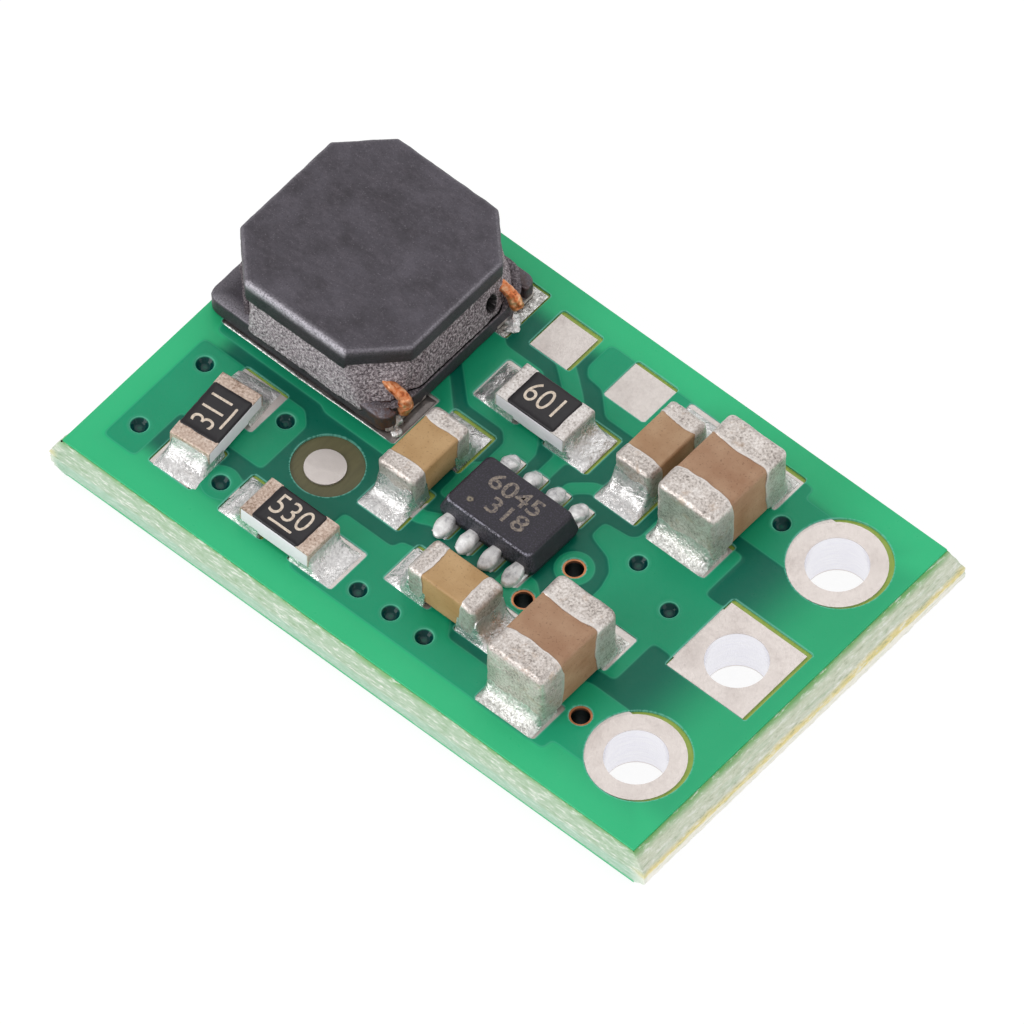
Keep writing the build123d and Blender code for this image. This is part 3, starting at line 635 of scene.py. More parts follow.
lacquer = makeLacquer()
fibreEdge = makeFibreEdge()
sheetFace = makeSheetFace()
tinnedPad = makeTinned("tinned pad", tone(198, 189, 184), tone(216, 208, 203), 0.42)
dullTin = makeTinned("dulled solder", tone(78, 73, 72), tone(128, 121, 118), 0.34, 0.7)
holeTin = makeTinned("plated hole", tone(202, 192, 187), tone(222, 213, 208), 0.38, 0.7,
                     tone(236, 234, 246))
bareCopper = makeCopper()
ceramicTan = makeCeramic("tan ceramic", tone(178, 140, 92), tone(198, 162, 116), tone(136, 102, 60))
ceramicBrown = makeCeramic("brown ceramic", tone(158, 116, 86), tone(182, 146, 116),
                           tone(116, 84, 60))
ceramicWarm = makeCeramic("warm ceramic", tone(170, 131, 96), tone(190, 156, 122),
                          tone(124, 92, 60))
endMetal = makeEndMetal("tinned end", tone(146, 137, 131), tone(204, 194, 187),
                        tone(236, 229, 224), 24.0, tone(188, 160, 134), 0.62)
resistorMetal = makeEndMetal("resistor end", tone(150, 124, 106), tone(196, 172, 156),
                             tone(226, 208, 194), 24.0)
silverMetal = makeEndMetal("silver end", tone(158, 150, 144), tone(214, 206, 201),
                           tone(240, 235, 232), 24.0)
leadTin = makeEndMetal("soldered lead", tone(176, 175, 178), tone(228, 226, 226),
                       tone(250, 249, 248), 9.0)
solder = makeSolder("bright solder", tone(200, 198, 197), tone(228, 226, 225),
                    tone(246, 244, 243), 0.20, 0.40, 0.005)
satinSolder = makeSolder("satin solder", tone(172, 171, 164), tone(216, 215, 210),
                         tone(248, 248, 244), 0.26, 0.46, 0.010)
glossySolder = makeSolder("glossy solder", tone(120, 118, 114), tone(176, 174, 170),
                          tone(226, 224, 220), 0.07, 0.16, 0.004)
alumina = makeClouded("white alumina", 0.5, 8, tone(238, 232, 240), tone(252, 247, 253), (22, 3),
                      0.006)
overcoat = makeClouded("black overcoat", 0.34, 6, tone(17, 14, 18), tone(34, 29, 34), (11, 4),
                       0.008)
marking = makeMarking("marking ink", tone(200, 182, 164), tone(232, 216, 198))
laserMark = makeMarking("laser marking", tone(74, 67, 72), tone(146, 133, 120))
mould = makeMould()
ferrite = makeFerrite()
resin = makeResin()
magnetWire = makeMagnetWire()
print("finishes made")


def padPlaces():
    # every pad of the top as middle, length, width and turn, in the layout
    pads = [(x, y, barePadSide, barePadSide, 0) for x, y in barePads]
    for name, x, y, turn, size, _ in capacitors + resistors:
        turn = 90 if name == "resistor_1" else turn  # this one sits askew on its pads
        far, near = size["length"] / 2 + size["toe"], size["length"] / 2 - padUnderPart
        for side in (-1, 1):
            d = side * (far + near) / 2
            pads.append((x + d * cos(radians(turn)), y + d * sin(radians(turn)), far - near,
                         size["padWidth"], turn))
    for x in chip["leads"]:
        for side in (-1, 1):
            pads.append((x, chip["y"] + side * chip["padOut"], *chip["padSize"], 0))
    for y in coil["padY"]:
        pads.append((coil["padX"], y, coil["padLength"], coil["padWidth"], 0))
    return pads


def topCopper(x, y):
    # signed distance to the top copper: the nearest of its areas, tracks, pads and rings
    forms = [outlineField(x, y, corners) for corners in copperAreas]
    forms += [trackField(x, y, points, width) for points, width in tracks]
    forms += [slabField(x, y, px, py, length, width, turn, 0.02)
              for px, py, length, width, turn in padPlaces()]
    forms += [discField(x, y, *at, via["wideRing" if at in wideRings else "ring"])
              for at in tentedVias + openVias]
    forms += [pinField(x, y, *hole, 0) for hole in pinHoles]
    forms.append(discField(x, y, fiducial["x"], fiducial["y"], fiducial["radius"]))
    return np.minimum.reduce(forms)


def pinField(x, y, px, py, kind, grow):
    # signed distance to the pad of a plated hole, grown all round
    if kind == "square":
        side = pin["square"] + 2 * grow
        return slabField(x, y, px, py, side, side, 0, 0.05)
    return discField(x, y, px, py, pin["round"] + grow)


def topWindows(x, y):
    # signed distance to the openings over pads, open vias and the mark
    grow, (dx, dy) = board["maskMargin"], board["maskShift"]
    forms = [discField(x, y, fiducial["x"] + dx, fiducial["y"] + dy, fiducial["window"])]
    for px, py, length, width, turn in padPlaces():
        aside = dy + (0.05 if width == largeCap["padWidth"] else 0.0)
        forms.append(slabField(x, y, px + dx, py + aside, length + 2 * grow, width + 2 * grow,
                               turn, 0.06))
    forms += [discField(x, y, *at, via["window"]) for at in openVias]
    forms += [pinField(x, y, px + dx, py + dy, kind, grow) for px, py, kind in pinHoles]
    return np.minimum.reduce(forms)


def bottomCopper(x, y):
    # signed distance to the underside's plane, cleared round the two outer holes
    d = slabField(x, y, 0, 0, 11.56, 6.99, 0, 0.46)
    for px, py, _ in pinHoles[::2]:
        d = np.maximum(d, -discField(x, y, px, py, pin["round"] + pin["gap"]))
        d = np.minimum(d, discField(x, y, px, py, pin["round"]))
    return d


def shadeUnder(x, y):
    # painted shade: how far the underside's copper darkens the sheet seen from above, 0 to 1: full
    # over its plane, fading out towards the holes, a third beyond it and nothing at the rim
    plane = slabField(x, y, 0.42, 0, 12.4, 6.99, 0, 0.46) + 0.15
    plane = np.maximum(plane, -discField(x, y, 4.5, -3.5, 0.85))
    full = (1 - ease(-0.42, 0.12, plane)) * (1 - 0.72 * ease(4.2, 5.7, x))
    rim = slabField(x, y, 0, 0, board["right"] - board["left"] - 0.5, 2 * board["half"] - 0.5)
    return np.maximum(full, 0.32 * (1 - ease(-0.80, 0.1, rim)))


def shadeOver(x, y):
    # painted shade the same way for the underside, where it is the top copper that darkens the
    # sheet
    return 1 - ease(-0.05, 0.10, topCopper(x, y))


def bottomWindows(x, y):
    # signed distance to the underside's openings
    forms = [discField(x, y, *at, via["bore"]) for at in openVias]
    return np.minimum.reduce(forms + [pinField(x, y, *hole, board["maskMargin"])
                                      for hole in pinHoles])


def soften(values, times):
    # rounds corners of a field: each point becomes the mean of its neighbours, several times
    for _ in range(times):
        p = np.pad(values, 1, mode="edge")
        values = (p[1:-1, 1:-1] * 4 + p[:-2, 1:-1] + p[2:, 1:-1] + p[1:-1, :-2] + p[1:-1, 2:]) / 8
    return values


def coat(name, face, level, ground, copper, windows, under, cell, stands):
    # a lacquer coat as a field of heights: lower between copper, sunk at closed vias,
    # with the cells inside the windows left out and their edge points drawn onto the outline
    columns = int((board["right"] - board["left"]) / cell) + 1
    rows = int(2 * board["half"] / cell) + 1
    xs = np.linspace(board["left"], board["right"], columns) - board["shift"]
    ys = np.linspace(-board["half"], board["half"], rows)
    x, y = np.meshgrid(xs, ys)
    copperGap, window, shade = soften(copper(x, y), 10), windows(x, y), under(x, y)
    kept = np.pad(window[1:, 1:] + window[:-1, 1:] + window[1:, :-1] + window[:-1, :-1] > 0, 1)
    around = [kept[1:, 1:], kept[:-1, 1:], kept[1:, :-1], kept[:-1, :-1]]
    inner = np.pad(np.ones((rows - 2, columns - 2), bool), 1)
    edge = np.logical_or.reduce(around) & ~np.logical_and.reduce(around) & inner
    slopeY, slopeX = np.gradient(window, ys, xs)
    steep = np.maximum(slopeX**2 + slopeY**2, 0.2)
    x = np.where(edge, x - window * slopeX / steep, x)
    y = np.where(edge, y - window * slopeY / steep, y)
    cover = 1 - ease(-0.03, 0.07, copperGap)
    well = np.minimum.reduce([discField(x, y, *at, 0) for at in tentedVias])
    sink = via["dimple"] * (1 - ease(0.09, 0.170, well))
    sink -= 0.006 * np.exp(-(((well - 0.20) / 0.03) ** 2))
    near = np.maximum(window, 0)
    points = np.stack([x, y, x * 0], -1)
    height = -0.017 * (1 - cover) - 0.012 * np.exp(-near / 0.03)
    height += 0.0015 * lumps(points, 1.4, 5)
    z = level + face * (np.maximum(height, -0.0205) - sink)
    top = np.stack([x + board["shift"], y, z], -1).reshape(-1, 3)
    low = top.copy()
    low[:, 2] = ground
    number = np.arange(x.size).reshape(x.shape)
    full = kept[1:-1, 1:-1]
    a, b, c, d = number[:-1, :-1], number[:-1, 1:], number[1:, 1:], number[1:, :-1]
    quads = [np.stack([v[full] for v in (a, b, c, d)], -1)]
    lower = x.size
    for before, after, start, end, flip in (
        (kept[1:-1, :-1], kept[1:-1, 1:], number[:-1, :], number[1:, :], False),
        (kept[:-1, 1:-1], kept[1:, 1:-1], number[:, :-1], number[:, 1:], True),
    ):
        for here, there, turned in ((before, after, flip), (after, before, not flip)):
            s, e = start[here & ~there], end[here & ~there]
            wall = np.stack([s + lower, e + lower, e, s], -1)
            quads.append(wall[:, ::-1] if turned else wall)
    faces = np.concatenate(quads)
    if face < 0:
        faces = faces[:, ::-1]
    used, faces = np.unique(faces, return_inverse=True)
    faces = faces.reshape(-1, 4)

    def twice(values):
        # the same values for the coat's face and for its foot, less the points left out
        return np.tile(values.reshape(-1), 2)[used]

    # under carries the painted shade of the copper on the sheet's far side
    fields = {"toCopper": twice(np.clip(copperGap, -0.4, 0.4)), "under": twice(shade),
              "toMiddle": twice(np.clip(well, 0, 0.9)), "toWindow": twice(np.clip(near, 0, 0.9))}
    points = np.concatenate([top, low])[used]
    makePiece(name, [(points, faces)], lacquer, stands, 50, fields, False)


coat("lacquer_top", 1, board["maskTop"], board["laminateTop"], topCopper, topWindows, shadeUnder,
     0.033, ["solder_mask_top"])
coat("lacquer_bottom", -1, 0.0, board["laminateLow"], bottomCopper, bottomWindows, shadeOver,
     0.08, ["solder_mask_bottom"])
print("lacquer laid")


def makeBoardEdge():
    # a ridged profile carried round the board: it runs out to the web and back, roughened
    low, top = board["laminateLow"], board["laminateTop"]
    share = np.linspace(0, 1, 27)
    z = low + share * (top - low)
    webLow = (top + low - board["web"]) / 2
    out = np.interp(z, [low, webLow, webLow + board["web"], top], [0, 1, 1, 0])
    length, width = board["right"] - board["left"], 2 * board["half"]
    middleX = (board["right"] + board["left"]) / 2 - board["shift"]
    loop = roundCorners(rightAngleBox(length, width), 0.004, 3, 260)
    sideways = outward(loop)
    lip = np.where(sideways[:, 0] > 0, board["lipRight"], board["lipLeft"])
    square = sideways / np.abs(sideways).max(1)[:, None]
    x = middleX + loop[None, :, 0] + square[None, :, 0] * (lip * out[:, None] + 0.004)
    y = loop[None, :, 1] + square[None, :, 1] * (board["lipSide"] * out[:, None] + 0.004)
    face = np.stack([x, y, np.broadcast_to(z[:, None], x.shape)], -1)
    ragged = 0.016 + 0.005 * lumps(face * (1, 1, 3), 0.5, 3)
    ragged += 0.006 * lumps(face * (1, 1, 5), 0.12, 4)
    toCorner = np.hypot(face[..., 0] - middleX + length / 2, face[..., 1] + width / 2)
    ragged += 0.03 * np.exp(-((toCorner / 0.22) ** 2)) * (1 + lumps(face * (1, 1, 9), 0.16, 6))
    ragged *= np.sin(pi * np.clip(share, 0.02, 0.98))[:, None] ** 0.3
    face[..., :2] += square * ragged[..., None]
    inner = stack(loop, [(-0.12, z[-1] - 0.002), (-0.12, z[0] + 0.002)])
    inner[..., 0] += middleX
    points = place(np.concatenate([face, inner]), 0, 0)
    ends = np.tile(np.abs(sideways[:, 0]), len(z) + 2)
    makePiece("board_edge", [sheet(points, True)], fibreEdge, fields={"atEnd": ends})


makeBoardEdge()
print("board edge made")


def tube(width, height, corner, stations, seed, rough=0.0, wave=None):
    # a rounded section carried along x: each station is its x, its inset and its share of size
    loop = roundCorners(rightAngleBox(width, height), corner, 6, 9)
    n = outward(loop)
    rings = []
    for x, inset, share in stations:
        ring = (loop - n * inset) * share
        rings.append(np.column_stack([np.full(len(loop), x), ring]))
    points = np.array(rings)
    if wave is not None:
        points[..., 0] += wave(points)
    if rough:
        push = rough * lumps(points, 0.34, seed) + rough * 0.5 * lumps(points, 0.12, seed + 1)
        points[..., 1] += n[None, :, 0] * push
        points[..., 2] += n[None, :, 1] * push
        points[..., 0] += 0.6 * push
    return points


def closedTube(width, height, corner, length, edge, seed, rough=0.0):
    # a rounded block: its section shrinks in a quarter circle near both ends, then to the middle
    t = np.linspace(0, pi / 2, 5)
    right = [(length / 2 - edge + edge * sin(a), edge * (1 - cos(a)), 1.0) for a in t]
    right += [(length / 2, edge, s) for s in (0.75, 0.5, 0.25, 0.0)]
    left = [(-x, inset, share) for x, inset, share in right[::-1]]
    middle = [(x, 0.0, 1.0) for x in np.linspace(-length / 2 + edge, length / 2 - edge, 7)[1:-1]]
    return tube(width, height, corner, left + middle + right, seed, rough)


def capEnd(size, seed, corner):
    # the metal over one end: a rim that bows back over each face, then round the end face
    skinThick, edge = 0.02, 0.11
    width, height, band = size["width"], size["height"], size["band"]
    rim, far = size["length"] / 2 - band, size["length"] / 2
    stations = [(rim, skinThick + 0.012, 1.0), (rim, skinThick * 0.4, 1.0),
                (rim + 0.012, 0.004, 1.0)]
    stations += [(x, 0.0, 1.0) for x in np.linspace(rim + 0.03, far - edge, 7)]
    stations += [(far - edge + edge * sin(a), edge * (1 - cos(a)), 1.0)
                 for a in np.linspace(0, pi / 2, 7)[1:]]
    stations += [(far + 0.004 * (1 - s), edge, s) for s in (0.86, 0.7, 0.5, 0.3, 0.0)]

    def rimWave(p):
        # the rim reaches furthest at the middle of each face and wanders a little
        fade = np.clip((far - edge - p[..., 0]) / (band - edge), 0, 1)
        bow = 1 - np.abs(p[..., 1] / (width / 2)) ** 2 * np.abs(p[..., 2] / (height / 2)) ** 2
        across = p * (0, 1, 1)
        wander = 0.018 * lumps(across, 0.45, seed + 7) + 0.009 * lumps(across, 0.16, seed + 9)
        return fade * (0.03 - 0.055 * bow * band / 0.4 + wander)

    # painted highlight: a pale line at the rim stations, handed on as the rim field
    bright = np.array([0, 0.5, 1, 0.5] + [0] * (len(stations) - 4), float)
    points = tube(width, height, corner, stations, seed, 0.007, rimWave)
    return points, np.repeat(bright, points.shape[1])


def makeCapacitor(name, x, y, turn, size, kind, seed):
    z = board["seat"] + size["height"] / 2
    corner, gap = 0.13 if size is largeCap else 0.10, 0.044
    body = closedTube(size["width"] - gap, size["height"] - gap, corner - 0.05,
                      size["length"] - 0.16, 0.03, seed, 0.003)
    finish = {"tan": ceramicTan, "warm": ceramicWarm, "brown": ceramicBrown}[kind]
    makePiece(name + "_body", [sheet(place(body, x, y, z, turn))], finish,
              [name + "_ceramic"], 60)
    for side, letter in ((-1, "a"), (1, "b")):
        end, rim = capEnd(size, seed + 20 * (side + 2), corner)
        end[..., 0] *= side
        makePiece(f"{name}_cap_{letter}", [sheet(place(end, x, y, z, turn))], endMetal,
                  [f"{name}_end_{letter}"], 60, {"rim": rim})


def strap(size, side, seed):
    # resistor end: a strip folded over the top, end and underside, its inner edge a little wavy
    far, band, half = size["length"] / 2, size["band"], size["height"] / 2
    w, r, skinThick = size["width"] / 2, 0.04, 0.022
    outer = [(far - band, half - 0.008), (far - band + 0.01, half)]
    outer += [(x, half) for x in np.linspace(far - band + 0.04, far - r, 6)]
    outer += [(far - r + r * sin(a), half - r + r * cos(a)) for a in np.linspace(0, pi / 2, 5)[1:]]
    outer += [(far, z) for z in np.linspace(half - r, 0, 4)[1:]]
    outer = np.array(outer)
    outer = np.concatenate([outer, (outer * (1, -1))[::-1][1:]])
    inner = np.array([(far - band, half - skinThick), (far - skinThick, half - skinThick),
                      (far - skinThick, -half + skinThick), (far - band, -half + skinThick)])
    profile = np.concatenate([outer, inner[::-1]])
    across = np.array([-w, -w + 0.006, *np.linspace(-w + 0.03, w - 0.03, 23), w - 0.006, w])
    py, px = np.meshgrid(across, profile[:, 0], indexing="ij")
    pz = np.broadcast_to(profile[:, 1], px.shape)
    points = np.stack([px, py, pz], -1)
    fade, flat = np.clip((far - r - px) / (band - r), 0, 1), points * (0, 1, 0.3)
    points[..., 0] += fade * (0.020 * lumps(flat, 0.5, seed) + 0.015 * lumps(flat, 0.15, seed + 1))
    lift = 0.006 * lumps(points, 0.3, seed + 2)
    points[..., 2] += np.sign(pz) * lift * (np.abs(pz) > half - 0.012)
    points[..., 0] *= side
    return points


def sideOf(points, row):
    # closes the open side of a strap: each outer point joins the inner point across from it
    ring = points[row]
    outerCount = len(ring) - 4
    inner = ring[outerCount:][::-1]
    share = np.linspace(0, 3, outerCount)
    cell = np.minimum(share.astype(int), 2)
    t = (share - cell)[:, None]
    facing = inner[cell] * (1 - t) + inner[cell + 1] * t
    return np.stack([ring[:outerCount], facing])


def makeResistor(name, x, y, turn, size, digits, seed):
    z, silver = board["seat"] + size["height"] / 2, name == "resistor_3"
    gap = 0.044
    body = closedTube(size["width"], size["height"] - gap, 0.02, size["length"] - gap, 0.012, seed,
                      0.002)
    makePiece(name + "_body", [sheet(place(body, x, y, z, turn))], alumina,
              [name + "_substrate"], 50)
    for side, letter in ((-1, "a"), (1, "b")):
        points = strap(size, side, seed + 5 * side + 6)
        parts = [sheet(place(points, x, y, z, turn), False, True)]
        parts += [sheet(place(sideOf(points, row), x, y, z, turn), False, False) for row in (0, -1)]
        makePiece(f"{name}_strap_{letter}", parts, silverMetal if silver else resistorMetal,
                  [f"{name}_end_{letter}"], 50)
    # the overcoat: a low pillow whose edges fall in a quarter circle and wander a little
    length, width = size["length"] - 2 * size["band"] + 0.09, size["width"] - 0.012
    loop = roundCorners(rightAngleBox(length, width), 0.05, 5, 14)
    low = size["height"] / 2 - 0.024
    rings = stack(loop, [(0, low), (0, low + 0.022), (-0.01, low + 0.036), (-0.03, low + 0.045)])
    rings[1:, :, :2] *= 1 + 0.010 * lumps(rings[1:] * (1, 1, 0), 0.2, seed + 3)[..., None]
    rings = capped(rings, (0.0, 0.5), (0.8, 0.6, 0.4, 0.2, 0.0))
    rings[6:, :, 2] += 0.004
    makePiece(name + "_coat", [sheet(place(rings, x, y, z, turn))], overcoat,
              [name + "_overcoat"], 50)
    top = z + low + 0.047
    up = 0.0 if silver else 0.045
    dx, dy = -up * sin(radians(turn)), up * cos(radians(turn))
    makeDigits(name + "_digits", digits, x + dx, y + dy, top, turn, 0.62, 0.86, marking,
               -0.003)
    if not silver:
        # a plain rounded bar under the digits
        bar = roundCorners(rightAngleBox(0.50, 0.046), 0.022, 5, 8)
        bar = capped(stack(bar, [(0, -0.003), (0, 0.006)]))
        bar[..., 1] += 0.008 * lumps(bar * (1, 0, 0), 0.4, seed + 8) - 0.255
        makePiece(name + "_bar", [sheet(place(bar, x, y, top, turn))], marking)


def makeDigits(name, digits, x, y, top, turn, size, stretch, finish, weight=0.006):
    # plain digits: text made a mesh, then set on the part's top
    curve = bpy.data.curves.new(name, "FONT")
    curve.body, curve.size, curve.align_x, curve.align_y = digits, size, "CENTER", "CENTER"
    curve.extrude, curve.offset, curve.resolution_u = 0.003, weight, 6
    helper = bpy.data.objects.new(name + "_text", curve)
    mesh = bpy.data.meshes.new_from_object(helper)
    bpy.data.objects.remove(helper)
    at = np.zeros(len(mesh.vertices) * 3, np.float32)
    mesh.vertices.foreach_get("co", at)
    at = at.reshape(-1, 3).astype(float)
    at[:, 0] *= stretch
    mesh.vertices.foreach_set("co", (place(at, x, y, top, turn) * mm).astype(np.float32).ravel())
    mesh.materials.clear()
    mesh.name = name
    hang(name, mesh, finish)


for number, part in enumerate(capacitors):
    makeCapacitor(*part, 31 * number + 11)
for number, part in enumerate(resistors):
    makeResistor(*part, 37 * number + 5)
print("chip parts made")


def meniscus(size, side, seed, *where):
    # a joint at one end of a chip part as a field of heights: a thin pool over the pad and a
    # hollow quarter circle that climbs the end face, both falling to nothing at the pad's rim
    face, rise = size["length"] / 2, 0.055 + size["height"] * size["climb"]
    far, near = face + size["toe"] + 0.01, face - 0.40
    halfPad, ground = size["padWidth"] / 2 + 0.02, board["copperTop"]
    u = np.concatenate([np.linspace(near, face - 0.02, 8),
                        face + (far - face) * np.linspace(0, 1, 30) ** 1.7])
    x, y = np.meshgrid(u, halfPad * arches(35), indexing="ij")
    points, across = np.stack([x, y, x * 0], -1), np.stack([x * 0, y, x * 0], -1)
    beside = np.maximum(np.abs(y) - size["width"] / 2 + 0.03, 0)
    run = size["run"] * (1 + 0.24 * lumps(across, 0.5, seed))
    t = np.clip(np.hypot(np.maximum(x - face, 0), beside * 1.2) / run, 0, 1)
    climb = rise * (1 - np.sqrt(np.maximum(1 - (1 - t) ** 2, 0)))
    tilt = 1 + 0.16 * lumps(across, 0.7, seed + 3)
    brim = np.minimum(np.minimum(far - x, x - near + 0.05), halfPad - np.abs(y))
    pool = 0.05 * ease(-0.03, 0.16, brim)
    pool += 0.006 * lumps(points, 0.6, seed + 1) * ease(0, 0.2, brim)
    z = ground + pool + climb * tilt * ease(0, 0.10, halfPad + 0.02 - np.abs(y)) + 0.003
    z = np.where(brim <= 1e-6, ground - 0.005, z)
    return heap(side * x, y, z, ground - 0.005, *where)


for number, (name, x, y, turn, size, _) in enumerate(capacitors + resistors):
    joint = [part for side in (-1, 1)
             for part in meniscus(size, side, 13 * number + 3 + side, x, y, 0, turn)]
    makePiece("joint_" + name, joint, satinSolder if size is largeCap else solder,
              ["solder_" + name], 70)
print("joints made")


def sweep(path, across, thick, taper, sides=20):
    # an oval section carried along a path: across is level, thick is square to the path
    path = np.asarray(path, float)
    ahead = np.gradient(path, axis=0)
    ahead /= np.linalg.norm(ahead, axis=1)[:, None]
    level = np.cross(ahead, (0, 0, 1.0))
    level /= np.maximum(np.linalg.norm(level, axis=1)[:, None], 1e-9)
    up = np.cross(level, ahead)
    a = np.linspace(0, tau, sides, endpoint=False)
    c, s = np.cos(a), np.sin(a)
    c, s = np.sign(c) * np.abs(c) ** 0.7, np.sign(s) * np.abs(s) ** 0.7
    ring = level[:, None] * c[None, :, None] * np.asarray(across)[:, None, None] / 2
    ring = ring + up[:, None] * s[None, :, None] * np.asarray(thick)[:, None, None] / 2
    return path[:, None] + ring * np.asarray(taper)[:, None, None]


lead = {"from": -0.06, "reach": 0.43, "frontReach": 0.49, "high": 1.17, "drop": 0.135,
        "wide": (0.19, 0.13), "thick": (0.13, 0.09), "tip": 0.48}
pool = {"x": 0.15, "y": 0.20, "out": 0.80, "high": 0.06, "sunk": 0.004}
chipBody = {"x": -0.015, "y": -0.05, "length": -0.03, "width": 0.05, "low": -0.02, "side": 0.15,
            "corner": 0.12, "edge": 0.045, "lean": (0.12, 0.05), "dot": (-0.58, -0.32)}
chipDigits = [("6045", -0.06, 0.17), ("318", 0.08, -0.23)]


def makeLead(number, leadX, side, seed):
    # a soldered lead: an oval section along the bent lead, swelling to an egg at the toe
    t = np.linspace(0, 1, 30)
    out = np.interp(t, [0, 1], [lead["from"], lead["frontReach" if side < 0 else "reach"]])
    z = lead["high"] - lead["drop"] * ease(0.0, 0.8, t)
    path = np.stack([np.full(30, leadX), chip["y"] + side * (chip["width"] / 2 + out), z], -1)
    wide, thick = (base + more * ease(0.1, 0.55, t) for base, more in (lead["wide"], lead["thick"]))
    points = sweep(path, wide, thick, roundedTip(t, lead["tip"]))
    rough = 0.010 * lumps(points, 0.32, seed) + 0.005 * lumps(points, 0.11, seed + 9)
    points = points + rough[..., None]
    points = np.concatenate([shrink(points[0], (0.0, 0.5)), points])
    makePiece(f"lead_{number}", [sheet(place(points, 0, 0))], leadTin,
              [f"controller_lead_{number}"], 70)


def leadPool(leadX, side, seed):
    # the solder under a lead: a low dome over the pad, its height the product of two arches
    x, y = np.meshgrid(arches(17) * pool["x"], arches(17) * pool["y"], indexing="ij")
    arch = np.maximum(1 - (x / pool["x"]) ** 4, 0) * np.maximum(1 - (y / pool["y"]) ** 4, 0)
    low = board["copperTop"] - pool["sunk"]
    rough = 1 + 0.2 * lumps(np.stack([x, y, x * 0], -1), 0.3, seed)
    return heap(x, y, low + pool["high"] * np.sqrt(arch) * rough, low, leadX,
                chip["y"] + side * pool["out"])


def makeChipBody():
    # moulded body: a rounded rectangle that leans in above the leads, its rings given by height
    length, width = chip["length"] + chipBody["length"], chip["width"] + chipBody["width"]
    low, top, r = chip["low"] + chipBody["low"], chip["top"], chipBody["edge"]
    parting = low + chipBody["side"]
    loop = roundCorners(rightAngleBox(length, width), chipBody["corner"], 7, 22)
    t = np.linspace(0, pi / 2, 6)[1:]
    z = np.concatenate([[low, low + 0.012], np.linspace(low + 0.04, parting, 4),
                        np.linspace(parting + 0.02, top - r, 6), top - r + r * np.sin(t)])
    lean = np.where(z < parting, 0.3 * (parting - z) / (parting - low),
                    (z - parting) / (top - parting))
    rounding = np.concatenate([[0.02, 0.006], np.zeros(10), r * (1 - np.cos(t))])
    share = 1 - 2 * (np.outer(lean, chipBody["lean"]) + rounding[:, None]) / (length, width)
    points = np.array([np.column_stack([loop * size, np.full(len(loop), height)])
                       for size, height in zip(share, z)])
    points[..., :2] *= 1 + 0.0015 * lumps(points, 0.12, 40)[..., None]
    lid = shrink(points[-1], np.linspace(0.975, 0, 30))
    dot = np.hypot(lid[..., 0] - chipBody["dot"][0], lid[..., 1] - chipBody["dot"][1])
    lid[..., 2] -= 0.016 * (1 - ease(0.035, 0.075, dot))
    lid[..., 2] += 0.0015 * lumps(lid * (1, 1, 0), 0.3, 41)
    whole = np.concatenate([points, lid])
    mark, edge = np.zeros(whole.shape[:2]), np.zeros(whole.shape[:2])
    mark[len(points):] = ease(0.015, 0.03, dot) * (1 - ease(0.04, 0.06, dot))
    # painted highlight: faint on the front side from the parting line up, strong along its rounded
    # top edge
    lit = np.clip(-outward(loop)[:, 1] * 1.2, 0, 1)
    edge[5:12] = 0.16 * lit
    edge[12:15] = np.array([0.6, 1.0, 0.7])[:, None] * lit
    whole = place(whole, chip["x"] + chipBody["x"], chip["y"] + chipBody["y"])
    makePiece("chip_body", [sheet(whole)], mould, ["controller_body"], 60,
              {"dot": mark.ravel(), "edge": edge.ravel()})


makeChipBody()
for index, (digits, dx, dy) in enumerate(chipDigits):
    makeDigits(f"chip_digits_{index + 1}", digits, chip["x"] + dx, chip["y"] + dy,
               chip["top"] + 0.001, 0, 0.46, 1.20, laserMark)
pools = []
for side in (-1, 1):
    for index, leadX in enumerate(chip["leads"]):
        number = index + 1 + (4 if side > 0 else 0)
        makeLead(number, leadX, side, 50 + number)
        pools += leadPool(leadX, side, 70 + number)
makePiece("joint_controller", pools, leadTin, ["solder_controller"], 70)
print("controller leads made")


flange = {"length": 3.80, "width": 3.88, "cut": 0.80, "corner": 0.10, "edge": 0.075, "sag": 0.15}
foot = {"length": 3.96, "width": 3.84, "corner": 0.20, "hidden": 0.24, "edge": 0.04, "below": 0.09,
        "notchAt": (-1.44, 1.44), "notchHalf": 0.19, "notchDeep": 0.15, "notchCorner": 0.05}
post = {"side": 1.8, "corner": 0.85}


